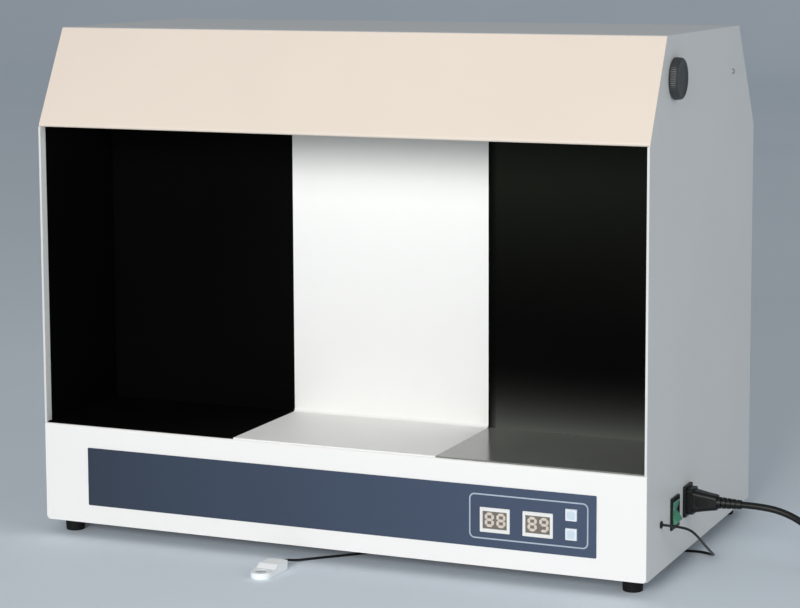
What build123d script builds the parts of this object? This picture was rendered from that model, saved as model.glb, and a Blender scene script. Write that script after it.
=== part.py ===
from build123d import *
import math
import os

os.makedirs("parts", exist_ok=True)

# Light inspection cabinet, also called a clarity tester, in millimetres.
# Origin: on the bench, under the middle of the casing's footprint. +X is to the
# right seen from the front, +Y goes from the front to the back, +Z is up.

# Driving dimensions of the casing
width = 680
depth = 384
casing_height = 532
foot_height = 15
foot_diameter = 22
foot_inset_x = 21
foot_inset_y = 24
sheet = 1.2
fascia_setback = 54
rear_setback = 66
fascia_height = 104
rear_bevel_height = 110
sill_height = 108
hem_depth = 10

# Inspection chamber
chamber_depth = 152
lining = 1.5
white_left_x = -112
white_right_x = 117

# Places that follow from the driving dimensions
half = width / 2
front_y = -depth / 2
back_y = depth / 2
base_z = foot_height
top_z = base_z + casing_height
bevel_z = top_z - fascia_height
rear_bend_z = top_z - rear_bevel_height
sill_z = base_z + sill_height
lip_z = sill_z - lining
chamber_back_y = front_y + chamber_depth
inner_x = half - sheet
hem_x = half - 2 * sheet
lining_x = inner_x - lining
fold_radius = 2.4
front_corner_radius = 4

# Control strip, displays and keys on the lower front
strip_width = 576
strip_height = 63
strip_thickness = 0.5
strip_x = 1
strip_z = base_z + 51.5
bezel_width = 32
bezel_height = 25.4
bezel_proud = 0.8
window_width = 26
window_height = 18
display_z = base_z + 48.2
timer_x = 182.2
illuminance_x = 227.8
collar_width = 28
collar_height = 20.6
key_size = 12
key_proud = 1.6
key_x = 263
upper_key_z = base_z + 61.5
lower_key_z = base_z + 42
key_travel = 1.0
cutout_gap = 0.3

# Right-hand side: dimmer, switch, mains inlet and probe lead
knob_y = front_y + 79
knob_z = base_z + 489
knob_diameter = 42
knob_height = 8.7
knob_gap = 0.8
knob_bore_depth = 6.2
shaft_diameter = 6
switch_y = front_y + 93.5
switch_z = base_z + 50
switch_bezel_width = 27.5
switch_bezel_height = 33
rocker_tilt = 9
inlet_y = front_y + 137.5
inlet_z = base_z + 53
inlet_width = 27
inlet_height = 32.5
lead_y = front_y + 48
lead_z = base_z + 47.7
side_screw_y = front_y + 294.6
side_screw_z = base_z + 484

# Cords
mains_diameter = 7
lead_diameter = 2.6
running_gap = 0.05


def corner_radii(points):
    """Largest smooth radius at each corner of a cord's route, from its two runs."""
    radii = []
    for before, corner, after in zip(points, points[1:], points[2:]):
        run_in = Vector(*corner) - Vector(*before)
        run_out = Vector(*after) - Vector(*corner)
        half_turn = math.radians(run_in.get_angle(run_out)) / 2
        shorter = min(run_in.length, run_out.length)
        radii.append(0.45 * shorter / math.tan(half_turn))
    return radii


def report_cord(name, part, path_length, diameter, radii):
    """Print what a cord's tube measures against its section times its length."""
    expected = math.pi * diameter**2 / 4 * path_length
    smallest = min(radii)
    print(f"{name}: length {path_length:.0f}, volume {part.volume / expected:.4f} of section x length,")
    print(f"  corner radii {[round(r, 1) for r in radii]}, smallest {smallest:.1f}")


# The casing's outline seen from the right, up the front, over the top, down the back
fascia_bend = (front_y, bevel_z)
top_front = (front_y + fascia_setback, top_z)
top_rear = (back_y - rear_setback, top_z)
rear_bend = (back_y, rear_bend_z)

# Right side panel, with its folded front hem and the holes for what it carries
with BuildPart() as right_side_panel:
    with BuildSketch(Plane.YZ.offset(inner_x)):
        with BuildLine():
            Polyline((front_y, base_z - sheet), fascia_bend, top_front, top_rear, rear_bend,
                     (back_y, base_z - sheet), close=True)
        make_face()
        offset(amount=-sheet, kind=Kind.INTERSECTION)
    extrude(amount=sheet)
    fillet(right_side_panel.edges().filter_by(Axis.X).group_by(Axis.Z)[-3:], radius=fold_radius - sheet)
    lower_corners = right_side_panel.edges().filter_by(Axis.X).group_by(Axis.Z)[0].sort_by(Axis.Y)
    fillet(lower_corners[0], radius=front_corner_radius - sheet)
    with BuildSketch(Plane.YZ.offset(hem_x)):
        with Locations((front_y + hem_depth / 2, (lip_z + bevel_z) / 2)):
            Rectangle(hem_depth, bevel_z - lip_z)
    extrude(amount=2 * sheet)
    with BuildSketch(Plane.YZ.offset(half + 1)):
        with Locations((knob_y, knob_z)):
            Circle(4.8)
        with Locations((switch_y, switch_z)):
            Rectangle(22.4, 28.4)
        with Locations((inlet_y, inlet_z)):
            Rectangle(20.4, 27.8)
        with Locations((lead_y, lead_z)):
            Circle(3)
        with Locations((side_screw_y, side_screw_z)):
            Circle(1.8)
    extrude(amount=-3 * sheet, mode=Mode.SUBTRACT)
right_side_panel.part.label = "right_side_panel"
export_step(right_side_panel.part, "parts/right_side_panel.step")

# Left side panel, plain but for the screw hole
with BuildPart() as left_side_panel:
    with BuildSketch(Plane.YZ.offset(-half)):
        with BuildLine():
            Polyline((front_y, base_z - sheet), fascia_bend, top_front, top_rear, rear_bend,
                     (back_y, base_z - sheet), close=True)
        make_face()
        offset(amount=-sheet, kind=Kind.INTERSECTION)
    extrude(amount=sheet)
    fillet(left_side_panel.edges().filter_by(Axis.X).group_by(Axis.Z)[-3:], radius=fold_radius - sheet)
    lower_corners = left_side_panel.edges().filter_by(Axis.X).group_by(Axis.Z)[0].sort_by(Axis.Y)
    fillet(lower_corners[0], radius=front_corner_radius - sheet)
    with BuildSketch(Plane.YZ.offset(-half)):
        with Locations((front_y + hem_depth / 2, (lip_z + bevel_z) / 2)):
            Rectangle(hem_depth, bevel_z - lip_z)
    extrude(amount=2 * sheet)
    with BuildSketch(Plane.YZ.offset(-half - 1)):
        with Locations((side_screw_y, side_screw_z)):
            Circle(1.8)
    extrude(amount=3 * sheet, mode=Mode.SUBTRACT)
left_side_panel.part.label = "left_side_panel"
export_step(left_side_panel.part, "parts/left_side_panel.step")

# Top cover: sloped fascia, flat top and rear bevel in one folded sheet
cover_return = 14
cover_overlap = 12
with BuildPart() as top_cover:
    with BuildSketch(Plane.YZ):
        with BuildLine():
            FilletPolyline((front_y + cover_return, bevel_z), fascia_bend, top_front, top_rear,
                           rear_bend, (back_y, rear_bend_z - cover_overlap), radius=fold_radius)
            offset(amount=sheet, side=Side.RIGHT)
        make_face()
    extrude(amount=half, both=True)
    add(left_side_panel.part, mode=Mode.SUBTRACT)
    add(right_side_panel.part, mode=Mode.SUBTRACT)
top_cover.part.label = "top_cover"
export_step(top_cover.part, "parts/top_cover.step")

# Front panel: lower front folded back into the sill of the chamber
lip_depth = 24
with BuildPart() as front_panel:
    with BuildSketch(Plane.YZ):
        with BuildLine():
            FilletPolyline((front_y, base_z), (front_y, lip_z), (front_y + lip_depth, lip_z),
                           radius=fold_radius)
            offset(amount=sheet, side=Side.RIGHT)
        make_face()
    extrude(amount=half, both=True)
    fillet(front_panel.edges().filter_by(Axis.Y).group_by(Axis.Z)[0], radius=front_corner_radius)
    with BuildSketch(Plane.XZ.offset(-front_y)):
        with Locations((timer_x, display_z), (illuminance_x, display_z)):
            Rectangle(collar_width + cutout_gap, collar_height + cutout_gap)
        with Locations((key_x, upper_key_z), (key_x, lower_key_z)):
            Rectangle(key_size + 2 * cutout_gap, key_size + 2 * cutout_gap)
    extrude(amount=-3 * sheet, mode=Mode.SUBTRACT)
    add(left_side_panel.part, mode=Mode.SUBTRACT)
    add(right_side_panel.part, mode=Mode.SUBTRACT)
front_panel.part.label = "front_panel"
export_step(front_panel.part, "parts/front_panel.step")

# Base tray with upturned edges, vent slots and four foot holes
tray_flange = 14
foot_places = [(sx * (half - foot_inset_x), sy * (back_y - foot_inset_y)) for sx in (-1, 1) for sy in (-1, 1)]
tray_top_z = base_z + sheet
with BuildPart() as base_tray:
    with BuildSketch(Plane.XY.offset(base_z)):
        Rectangle(2 * inner_x, depth - 2 * sheet)
    extrude(amount=tray_flange)
    with BuildSketch(Plane.XY.offset(tray_top_z)):
        Rectangle(2 * inner_x - 2 * sheet, depth - 4 * sheet)
    extrude(amount=tray_flange, mode=Mode.SUBTRACT)
    with BuildSketch(Plane.XY.offset(base_z)):
        with Locations(*foot_places):
            Circle(2.2)
        with Locations((0, 60)):
            with GridLocations(12, 0, 14, 1):
                SlotOverall(60, 4, rotation=90)
    extrude(amount=sheet, mode=Mode.SUBTRACT)
base_tray.part.label = "base_tray"
export_step(base_tray.part, "parts/base_tray.step")

# Rear panel with two rows of cooling slots
rear_panel_top_z = rear_bend_z - cover_overlap
screw_rows = (base_z + 20, rear_panel_top_z - 14)
screw_columns = (-310, -105, 105, 310)
with BuildPart() as rear_panel:
    with BuildSketch(Plane.XZ.offset(-back_y)):
        with Locations((0, (base_z + rear_panel_top_z) / 2)):
            Rectangle(width, rear_panel_top_z - base_z)
        with Locations((0, rear_panel_top_z - 60)):
            with GridLocations(14, 0, 26, 1):
                SlotOverall(50, 4, rotation=90, mode=Mode.SUBTRACT)
        with Locations((0, base_z + 70)):
            with GridLocations(14, 0, 26, 1):
                SlotOverall(50, 4, rotation=90, mode=Mode.SUBTRACT)
        with Locations(*[(x, z) for x in screw_columns for z in screw_rows]):
            Circle(2, mode=Mode.SUBTRACT)
    extrude(amount=sheet)
rear_panel.part.label = "rear_panel"
export_step(rear_panel.part, "parts/rear_panel.step")

# Rear panel screws: domed heads with a cross recess
rear_head_height = 1.6
with BuildPart() as rear_panel_screws:
    with Locations(*[Plane((x, back_y, z), z_dir=(0, 1, 0)) for x in screw_columns for z in screw_rows]):
        Cylinder(3.6, rear_head_height, align=(Align.CENTER, Align.CENTER, Align.MIN))
        Cylinder(1.7, 9, align=(Align.CENTER, Align.CENTER, Align.MAX))
    fillet(rear_panel_screws.faces().filter_by(Axis.Y).group_by(Axis.Y)[-1].edges(), radius=0.9)
    with Locations(*[Plane((x, back_y + rear_head_height, z), z_dir=(0, 1, 0))
                     for x in screw_columns for z in screw_rows]):
        Box(3.4, 0.8, rear_head_height, mode=Mode.SUBTRACT)
        Box(0.8, 3.4, rear_head_height, mode=Mode.SUBTRACT)
rear_panel_screws.part.label = "rear_panel_screws"
export_step(rear_panel_screws.part, "parts/rear_panel_screws.step")

# One screw through each side near the rear bevel holds the top cover
side_head_height = 1.4
side_screw_planes = [Plane((side * half, side_screw_y, side_screw_z), z_dir=(side, 0, 0)) for side in (-1, 1)]
with BuildPart() as side_cover_screws:
    with Locations(*side_screw_planes):
        Cylinder(3, side_head_height, align=(Align.CENTER, Align.CENTER, Align.MIN))
        Cylinder(1.5, 9, align=(Align.CENTER, Align.CENTER, Align.MAX))
    fillet(side_cover_screws.faces().filter_by(Axis.X).group_by(Axis.X)[-1].edges(), radius=0.8)
    fillet(side_cover_screws.faces().filter_by(Axis.X).group_by(Axis.X)[0].edges(), radius=0.8)
    with Locations(*[plane.offset(side_head_height) for plane in side_screw_planes]):
        Box(3, 0.7, side_head_height, mode=Mode.SUBTRACT)
        Box(0.7, 3, side_head_height, mode=Mode.SUBTRACT)
side_cover_screws.part.label = "side_cover_screws"
export_step(side_cover_screws.part, "parts/side_cover_screws.step")

# Rubber feet, tapered, with a recess for the screw
foot_recess_depth = 7
with BuildPart() as rubber_feet:
    with BuildSketch(Plane.XY.offset(base_z)):
        with Locations(*foot_places):
            Circle(foot_diameter / 2)
    extrude(amount=-foot_height, taper=4)
    fillet(rubber_feet.faces().group_by(Axis.Z)[0].edges(), radius=1)
    with BuildSketch(Plane.XY):
        with Locations(*foot_places):
            Circle(4.6)
    extrude(amount=foot_recess_depth, mode=Mode.SUBTRACT)
    with BuildSketch(Plane.XY):
        with Locations(*foot_places):
            Circle(2.2)
    extrude(amount=foot_height, mode=Mode.SUBTRACT)
rubber_feet.part.label = "rubber_feet"
export_step(rubber_feet.part, "parts/rubber_feet.step")

# Foot screws, their heads well inside the rubber
foot_head_height = 2.4
with BuildPart() as foot_screws:
    with Locations(*[(x, y, foot_recess_depth) for x, y in foot_places]):
        Cylinder(3.8, foot_head_height, align=(Align.CENTER, Align.CENTER, Align.MAX))
        Cylinder(2, foot_height, align=(Align.CENTER, Align.CENTER, Align.MIN))
    with Locations(*[(x, y, foot_recess_depth - foot_head_height) for x, y in foot_places]):
        Box(4, 0.9, foot_head_height, mode=Mode.SUBTRACT)
        Box(0.9, 4, foot_head_height, mode=Mode.SUBTRACT)
foot_screws.part.label = "foot_screws"
export_step(foot_screws.part, "parts/foot_screws.step")

# Printed control strip stuck on the lower front
with BuildPart() as control_strip:
    with BuildSketch(Plane.XZ.offset(-front_y)):
        with Locations((strip_x, strip_z)):
            RectangleRounded(strip_width, strip_height, 1.2)
        with Locations((timer_x, display_z), (illuminance_x, display_z)):
            Rectangle(collar_width + cutout_gap, collar_height + cutout_gap, mode=Mode.SUBTRACT)
        with Locations((key_x, upper_key_z), (key_x, lower_key_z)):
            Rectangle(key_size + 2 * cutout_gap, key_size + 2 * cutout_gap, mode=Mode.SUBTRACT)
    extrude(amount=strip_thickness)
control_strip.part.label = "control_strip"
export_step(control_strip.part, "parts/control_strip.step")

# Chamber floor pan behind the sill, with turned-down ends
pan_flange = 12
with BuildPart() as chamber_floor_pan:
    with BuildSketch(Plane.XY.offset(lip_z)):
        with Locations((0, (front_y + lip_depth + chamber_back_y) / 2)):
            Rectangle(2 * inner_x, chamber_depth - lip_depth)
    extrude(amount=-pan_flange)
    with BuildSketch(Plane.XY.offset(lip_z - sheet)):
        with Locations((0, (front_y + lip_depth + chamber_back_y) / 2)):
            Rectangle(2 * inner_x - 2 * sheet, chamber_depth - lip_depth)
    extrude(amount=-pan_flange, mode=Mode.SUBTRACT)
chamber_floor_pan.part.label = "chamber_floor_pan"
export_step(chamber_floor_pan.part, "parts/chamber_floor_pan.step")

# Chamber back wall, up to the top of the lamp housing, with holes for the lamp wires
wall_top_z = bevel_z + 70
wire_hole_z = wall_top_z - 12
with BuildPart() as chamber_back_wall:
    with BuildSketch(Plane.XZ.offset(-chamber_back_y)):
        with Locations((0, (lip_z - pan_flange + wall_top_z) / 2)):
            Rectangle(2 * inner_x, wall_top_z - lip_z + pan_flange)
        with Locations((-300, wire_hole_z), (300, wire_hole_z)):
            Circle(6, mode=Mode.SUBTRACT)
    extrude(amount=-sheet)
chamber_back_wall.part.label = "chamber_back_wall"
export_step(chamber_back_wall.part, "parts/chamber_back_wall.step")

# Linings of the chamber: a white middle board and a black left board, each folded from floor to back
lining_front_y = front_y + 2
lining_top_z = bevel_z + 4
with BuildPart() as white_backboard:
    with BuildSketch(Plane.YZ.offset(white_left_x)):
        with BuildLine():
            FilletPolyline((lining_front_y, lip_z), (chamber_back_y, lip_z), (chamber_back_y, lining_top_z),
                           radius=6)
            offset(amount=lining, side=Side.LEFT)
        make_face()
    extrude(amount=white_right_x - white_left_x)
white_backboard.part.label = "white_backboard"
export_step(white_backboard.part, "parts/white_backboard.step")

with BuildPart() as left_black_board:
    with BuildSketch(Plane.YZ.offset(-lining_x)):
        with BuildLine():
            FilletPolyline((lining_front_y, lip_z), (chamber_back_y, lip_z), (chamber_back_y, lining_top_z),
                           radius=3)
            offset(amount=lining, side=Side.LEFT)
        make_face()
    extrude(amount=white_left_x + lining_x)
left_black_board.part.label = "left_black_board"
export_step(left_black_board.part, "parts/left_black_board.step")

# Black linings of the two side walls, behind the hems
with BuildPart() as side_wall_linings:
    for side in (-1, 1):
        with BuildSketch(Plane.YZ.offset(side * inner_x)):
            with Locations(((front_y + hem_depth + chamber_back_y) / 2, (lip_z + bevel_z) / 2)):
                Rectangle(chamber_depth - hem_depth, bevel_z - lip_z)
        extrude(amount=-side * lining)
side_wall_linings.part.label = "side_wall_linings"
export_step(side_wall_linings.part, "parts/side_wall_linings.step")

# Glossy black plates of the right zone: one on the back, one on the floor
right_zone_middle = (white_right_x + lining_x) / 2
right_zone_width = lining_x - white_right_x
with BuildPart() as right_back_plate:
    with BuildSketch(Plane.XZ.offset(-chamber_back_y)):
        with Locations((right_zone_middle, (lip_z + lining_top_z) / 2)):
            Rectangle(right_zone_width, lining_top_z - lip_z)
    extrude(amount=lining)
right_back_plate.part.label = "right_back_plate"
export_step(right_back_plate.part, "parts/right_back_plate.step")

with BuildPart() as glossy_floor_plate:
    with BuildSketch(Plane.XY.offset(lip_z)):
        with Locations((right_zone_middle, (lining_front_y + chamber_back_y - lining) / 2)):
            Rectangle(right_zone_width, chamber_back_y - lining - lining_front_y)
    extrude(amount=lining)
glossy_floor_plate.part.label = "glossy_floor_plate"
export_step(glossy_floor_plate.part, "parts/glossy_floor_plate.step")

# Lamp reflector: a folded white trough above the opening. Its rear lip stands well in front of
# the backboard and shades the top of it, and a shelf closes the gap from the lip to the back.
reflector_half = 316
reflector_sheet = 0.8
reflector_front_y = front_y + 18
trough_front_y = front_y + 50
trough_rear_y = front_y + 82
reflector_lip_y = front_y + 96
reflector_top_z = bevel_z + 64
shelf_z = bevel_z + 2
shelf_back_y = chamber_back_y - lining - 0.5
reflector_outline = [(front_y + 8, bevel_z + sheet), (reflector_front_y, bevel_z + sheet),
                     (trough_front_y, reflector_top_z), (trough_rear_y, reflector_top_z),
                     (reflector_lip_y, shelf_z), (shelf_back_y, shelf_z)]
with BuildPart() as lamp_reflector:
    with BuildSketch(Plane.YZ):
        with BuildLine():
            FilletPolyline(*reflector_outline, radius=2)
            offset(amount=reflector_sheet, side=Side.LEFT)
        make_face()
    extrude(amount=reflector_half, both=True)
lamp_reflector.part.label = "lamp_reflector"
export_step(lamp_reflector.part, "parts/lamp_reflector.step")

# End plates that close the trough and reach over to the side panels
end_plate_tab = inner_x - reflector_half
with BuildPart() as reflector_end_plates:
    for side in (-1, 1):
        with BuildSketch(Plane.YZ.offset(side * reflector_half)):
            with BuildLine():
                Polyline((reflector_front_y, bevel_z + sheet), (trough_front_y, reflector_top_z + 2),
                         (trough_rear_y, reflector_top_z + 2), (reflector_lip_y + 1, shelf_z + 2),
                         (shelf_back_y, shelf_z + 2), (shelf_back_y, bevel_z + sheet), close=True)
            make_face()
        extrude(amount=side * reflector_sheet)
        with BuildSketch(Plane.YZ.offset(side * reflector_half)):
            with Locations(((reflector_front_y + shelf_back_y) / 2, bevel_z + sheet + reflector_sheet / 2)):
                Rectangle(shelf_back_y - reflector_front_y, reflector_sheet)
        extrude(amount=side * end_plate_tab)
reflector_end_plates.part.label = "reflector_end_plates"
export_step(reflector_end_plates.part, "parts/reflector_end_plates.step")

# Fluorescent tube with its caps and pins
tube_radius = 13
tube_length = 590
cap_length = 14
pin_spacing = 12.7
lamp_y = front_y + 60
lamp_z = bevel_z + 34
lamp_plane = Plane((0, lamp_y, lamp_z), x_dir=(0, 1, 0), z_dir=(1, 0, 0))
glass_half = tube_length / 2 - cap_length
with BuildPart() as lamp_tube:
    with BuildSketch(lamp_plane):
        Circle(tube_radius)
        Circle(tube_radius - 0.8, mode=Mode.SUBTRACT)
    extrude(amount=glass_half, both=True)
lamp_tube.part.label = "lamp_tube"
export_step(lamp_tube.part, "parts/lamp_tube.step")

with BuildPart() as lamp_end_caps:
    for side in (-1, 1):
        with BuildSketch(lamp_plane.offset(side * glass_half)):
            Circle(tube_radius)
        extrude(amount=side * cap_length)
        with BuildSketch(lamp_plane.offset(side * tube_length / 2)):
            with Locations((-pin_spacing / 2, 0), (pin_spacing / 2, 0)):
                Circle(1.2)
        extrude(amount=side * 7)
lamp_end_caps.part.label = "lamp_end_caps"
export_step(lamp_end_caps.part, "parts/lamp_end_caps.step")

# Lampholders hanging from the reflector, bored for the pins
holder_start = tube_length / 2 + 0.3
holder_thickness = 12
with BuildPart() as lamp_holders:
    for side in (-1, 1):
        with BuildSketch(lamp_plane.offset(side * holder_start)):
            SlotCenterToCenter(0.1, 28, rotation=90)
            with Locations((0, (reflector_top_z - lamp_z) / 2)):
                Rectangle(18, reflector_top_z - lamp_z)
            with Locations((-pin_spacing / 2, 0), (pin_spacing / 2, 0)):
                Circle(1.6, mode=Mode.SUBTRACT)
        extrude(amount=side * holder_thickness)
lamp_holders.part.label = "lamp_holders"
export_step(lamp_holders.part, "parts/lamp_holders.step")

# Electronic ballast on the base tray, in the rear compartment
ballast_length = 212
ballast_width = 42
ballast_height = 30
ballast_x = -130
ballast_y = 120
with BuildPart() as ballast_case:
    with Locations((ballast_x, ballast_y, tray_top_z)):
        Box(ballast_length, ballast_width, ballast_height, align=(Align.CENTER, Align.CENTER, Align.MIN))
    fillet(ballast_case.edges().filter_by(Axis.X).group_by(Axis.Z)[-1], radius=2)
    with Locations(*[(ballast_x + side * (ballast_length / 2 + 7), ballast_y, tray_top_z) for side in (-1, 1)]):
        Box(14, ballast_width - 12, 1.5, align=(Align.CENTER, Align.CENTER, Align.MIN))
        Cylinder(2.2, 8, mode=Mode.SUBTRACT)
ballast_case.part.label = "ballast_case"
export_step(ballast_case.part, "parts/ballast_case.step")

with BuildPart() as ballast_terminals:
    for side in (-1, 1):
        with Locations((ballast_x + side * 88, ballast_y, tray_top_z + ballast_height)):
            Box(20, 34, 9, align=(Align.CENTER, Align.CENTER, Align.MIN))
            with GridLocations(0, 8, 1, 4):
                Cylinder(1.6, 40, rotation=(0, 90, 0), mode=Mode.SUBTRACT,
                         align=(Align.MIN, Align.CENTER, Align.CENTER))
ballast_terminals.part.label = "ballast_terminals"
export_step(ballast_terminals.part, "parts/ballast_terminals.step")

# Power board for the displays and the dimmer, with its transformer
spacer_height = 8
board_thickness = 1.6
power_board_x = 90
power_board_y = 110
power_board_size = (130, 84)
power_spacers = [(power_board_x + sx * 58, power_board_y + sy * 35) for sx in (-1, 1) for sy in (-1, 1)]
power_board_z = tray_top_z + spacer_height
with BuildPart() as power_board:
    with BuildSketch(Plane.XY.offset(power_board_z)):
        with Locations((power_board_x, power_board_y)):
            RectangleRounded(*power_board_size, 3)
        with Locations(*power_spacers):
            Circle(1.6, mode=Mode.SUBTRACT)
    extrude(amount=board_thickness)
    with BuildSketch(Plane.XY.offset(power_board_z + board_thickness)):
        with Locations((power_board_x - 42, power_board_y + 16), (power_board_x - 42, power_board_y - 14)):
            Circle(8)
        with Locations((power_board_x - 18, power_board_y)):
            Rectangle(12, 50)
    extrude(amount=22)
power_board.part.label = "power_board"
export_step(power_board.part, "parts/power_board.step")

with BuildPart() as transformer:
    with Locations((power_board_x + 26, power_board_y, power_board_z + board_thickness)):
        Box(46, 34, 38, align=(Align.CENTER, Align.CENTER, Align.MIN))
        with Locations((0, 0, 8)):
            Box(30, 54, 22, align=(Align.CENTER, Align.CENTER, Align.MIN))
transformer.part.label = "transformer"
export_step(transformer.part, "parts/transformer.step")

# Mains terminal block near the inlet
with BuildPart() as terminal_block:
    with Locations((270, 60, tray_top_z)):
        Box(60, 22, 8, align=(Align.CENTER, Align.CENTER, Align.MIN))
        with GridLocations(12, 0, 5, 1):
            with Locations((0, 0, 8)):
                Box(10, 18, 8, align=(Align.CENTER, Align.CENTER, Align.MIN))
                Cylinder(2, 4, mode=Mode.SUBTRACT, align=(Align.CENTER, Align.CENTER, Align.MIN))
terminal_block.part.label = "terminal_block"
export_step(terminal_block.part, "parts/terminal_block.step")

# Display board behind the strip, on spacers fixed to the front panel
display_board_y = front_y + 14
display_board_x = 221
display_board_z = base_z + 51.5
display_board_size = (134, 56)
display_spacers = [(display_board_x + sx * 62, display_board_z + sz * 23) for sx in (-1, 1) for sz in (-1, 1)]
with BuildPart() as display_board:
    with BuildSketch(Plane.XZ.offset(-display_board_y)):
        with Locations((display_board_x, display_board_z)):
            RectangleRounded(*display_board_size, 2)
        with Locations(*display_spacers):
            Circle(1.4, mode=Mode.SUBTRACT)
    extrude(amount=-board_thickness)
    with BuildSketch(Plane.XZ.offset(-display_board_y - board_thickness)):
        with Locations((display_board_x - 30, display_board_z), (display_board_x + 20, display_board_z + 8)):
            Rectangle(24, 10)
    extrude(amount=-4)
display_board.part.label = "display_board"
export_step(display_board.part, "parts/display_board.step")

with BuildPart() as board_spacers:
    with BuildSketch(Plane.XZ.offset(-front_y - sheet)):
        with Locations(*display_spacers):
            Circle(3)
            Circle(1.2, mode=Mode.SUBTRACT)
    extrude(amount=sheet + front_y - display_board_y)
    with BuildSketch(Plane.XY.offset(tray_top_z)):
        with Locations(*power_spacers):
            Circle(3)
            Circle(1.2, mode=Mode.SUBTRACT)
    extrude(amount=spacer_height)
board_spacers.part.label = "board_spacers"
export_step(board_spacers.part, "parts/board_spacers.step")

# White display bezels: a flange on the strip and a collar through the panel
collar_depth = 4
with BuildPart() as display_bezels:
    with BuildSketch(Plane.XZ.offset(-front_y + strip_thickness)):
        with Locations((timer_x, display_z), (illuminance_x, display_z)):
            RectangleRounded(bezel_width, bezel_height, 0.8)
    extrude(amount=bezel_proud)
    chamfer(display_bezels.faces().group_by(Axis.Y)[0].edges(), length=0.4)
    with BuildSketch(Plane.XZ.offset(-front_y + strip_thickness)):
        with Locations((timer_x, display_z), (illuminance_x, display_z)):
            Rectangle(collar_width, collar_height)
    extrude(amount=-collar_depth)
    with BuildSketch(Plane.XZ.offset(-front_y + 5)):
        with Locations((timer_x, display_z), (illuminance_x, display_z)):
            Rectangle(window_width, window_height)
    extrude(amount=-5 - collar_depth, mode=Mode.SUBTRACT)
display_bezels.part.label = "display_bezels"
export_step(display_bezels.part, "parts/display_bezels.step")

# Two-digit display modules standing on the board, inside the collars
module_front_y = front_y + 0.6
with BuildPart() as display_modules:
    with BuildSketch(Plane.XZ.offset(-display_board_y)):
        with Locations((timer_x, display_z), (illuminance_x, display_z)):
            Rectangle(window_width - 0.3, window_height - 0.3)
    extrude(amount=display_board_y - module_front_y)
display_modules.part.label = "display_modules"
export_step(display_modules.part, "parts/display_modules.step")

# Keys: a square cap, a flange behind the panel and a stem into the key switch
key_flange = 14.6
key_gap = 0.1
stem_diameter = 3.5
switch_face_y = front_y + 7.5
stem_end_y = switch_face_y + 0.8
with BuildPart() as upper_key:
    with BuildSketch(Plane.XZ.offset(-front_y - sheet - key_gap)):
        with Locations((key_x, upper_key_z)):
            RectangleRounded(key_size, key_size, 0.8)
    extrude(amount=sheet + key_gap + strip_thickness + key_proud)
    fillet(upper_key.faces().sort_by(Axis.Y)[0].edges(), radius=0.6)
    with BuildSketch(Plane.XZ.offset(-front_y - sheet - key_gap)):
        with Locations((key_x, upper_key_z)):
            Rectangle(key_flange, key_flange)
    extrude(amount=-1)
    with BuildSketch(Plane.XZ.offset(-front_y - sheet - key_gap)):
        with Locations((key_x, upper_key_z)):
            Circle(stem_diameter / 2)
    extrude(amount=front_y + sheet + key_gap - stem_end_y)
upper_key.part.label = "upper_key"
export_step(upper_key.part, "parts/upper_key.step")

with BuildPart() as lower_key:
    with BuildSketch(Plane.XZ.offset(-front_y - sheet - key_gap)):
        with Locations((key_x, lower_key_z)):
            RectangleRounded(key_size, key_size, 0.8)
    extrude(amount=sheet + key_gap + strip_thickness + key_proud)
    fillet(lower_key.faces().sort_by(Axis.Y)[0].edges(), radius=0.6)
    with BuildSketch(Plane.XZ.offset(-front_y - sheet - key_gap)):
        with Locations((key_x, lower_key_z)):
            Rectangle(key_flange, key_flange)
    extrude(amount=-1)
    with BuildSketch(Plane.XZ.offset(-front_y - sheet - key_gap)):
        with Locations((key_x, lower_key_z)):
            Circle(stem_diameter / 2)
    extrude(amount=front_y + sheet + key_gap - stem_end_y)
lower_key.part.label = "lower_key"
export_step(lower_key.part, "parts/lower_key.step")

# Key switches on the board, bored so that the stems can travel
with BuildPart() as key_switches:
    with BuildSketch(Plane.XZ.offset(-switch_face_y)):
        with Locations((key_x, upper_key_z), (key_x, lower_key_z)):
            RectangleRounded(10, 10, 1)
    extrude(amount=switch_face_y - display_board_y)
    with BuildSketch(Plane.XZ.offset(-switch_face_y)):
        with Locations((key_x, upper_key_z), (key_x, lower_key_z)):
            Circle(stem_diameter / 2 + 0.2)
    extrude(amount=-key_travel - 1.6, mode=Mode.SUBTRACT)
key_switches.part.label = "key_switches"
export_step(key_switches.part, "parts/key_switches.step")

# Buzzer of the timer, on the display board
with BuildPart() as buzzer:
    with BuildSketch(Plane.XZ.offset(-display_board_y - board_thickness)):
        with Locations((display_board_x + 46, display_board_z - 12)):
            Circle(6)
            Circle(1.2, mode=Mode.SUBTRACT)
    extrude(amount=-9)
buzzer.part.label = "buzzer"
export_step(buzzer.part, "parts/buzzer.step")

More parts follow.
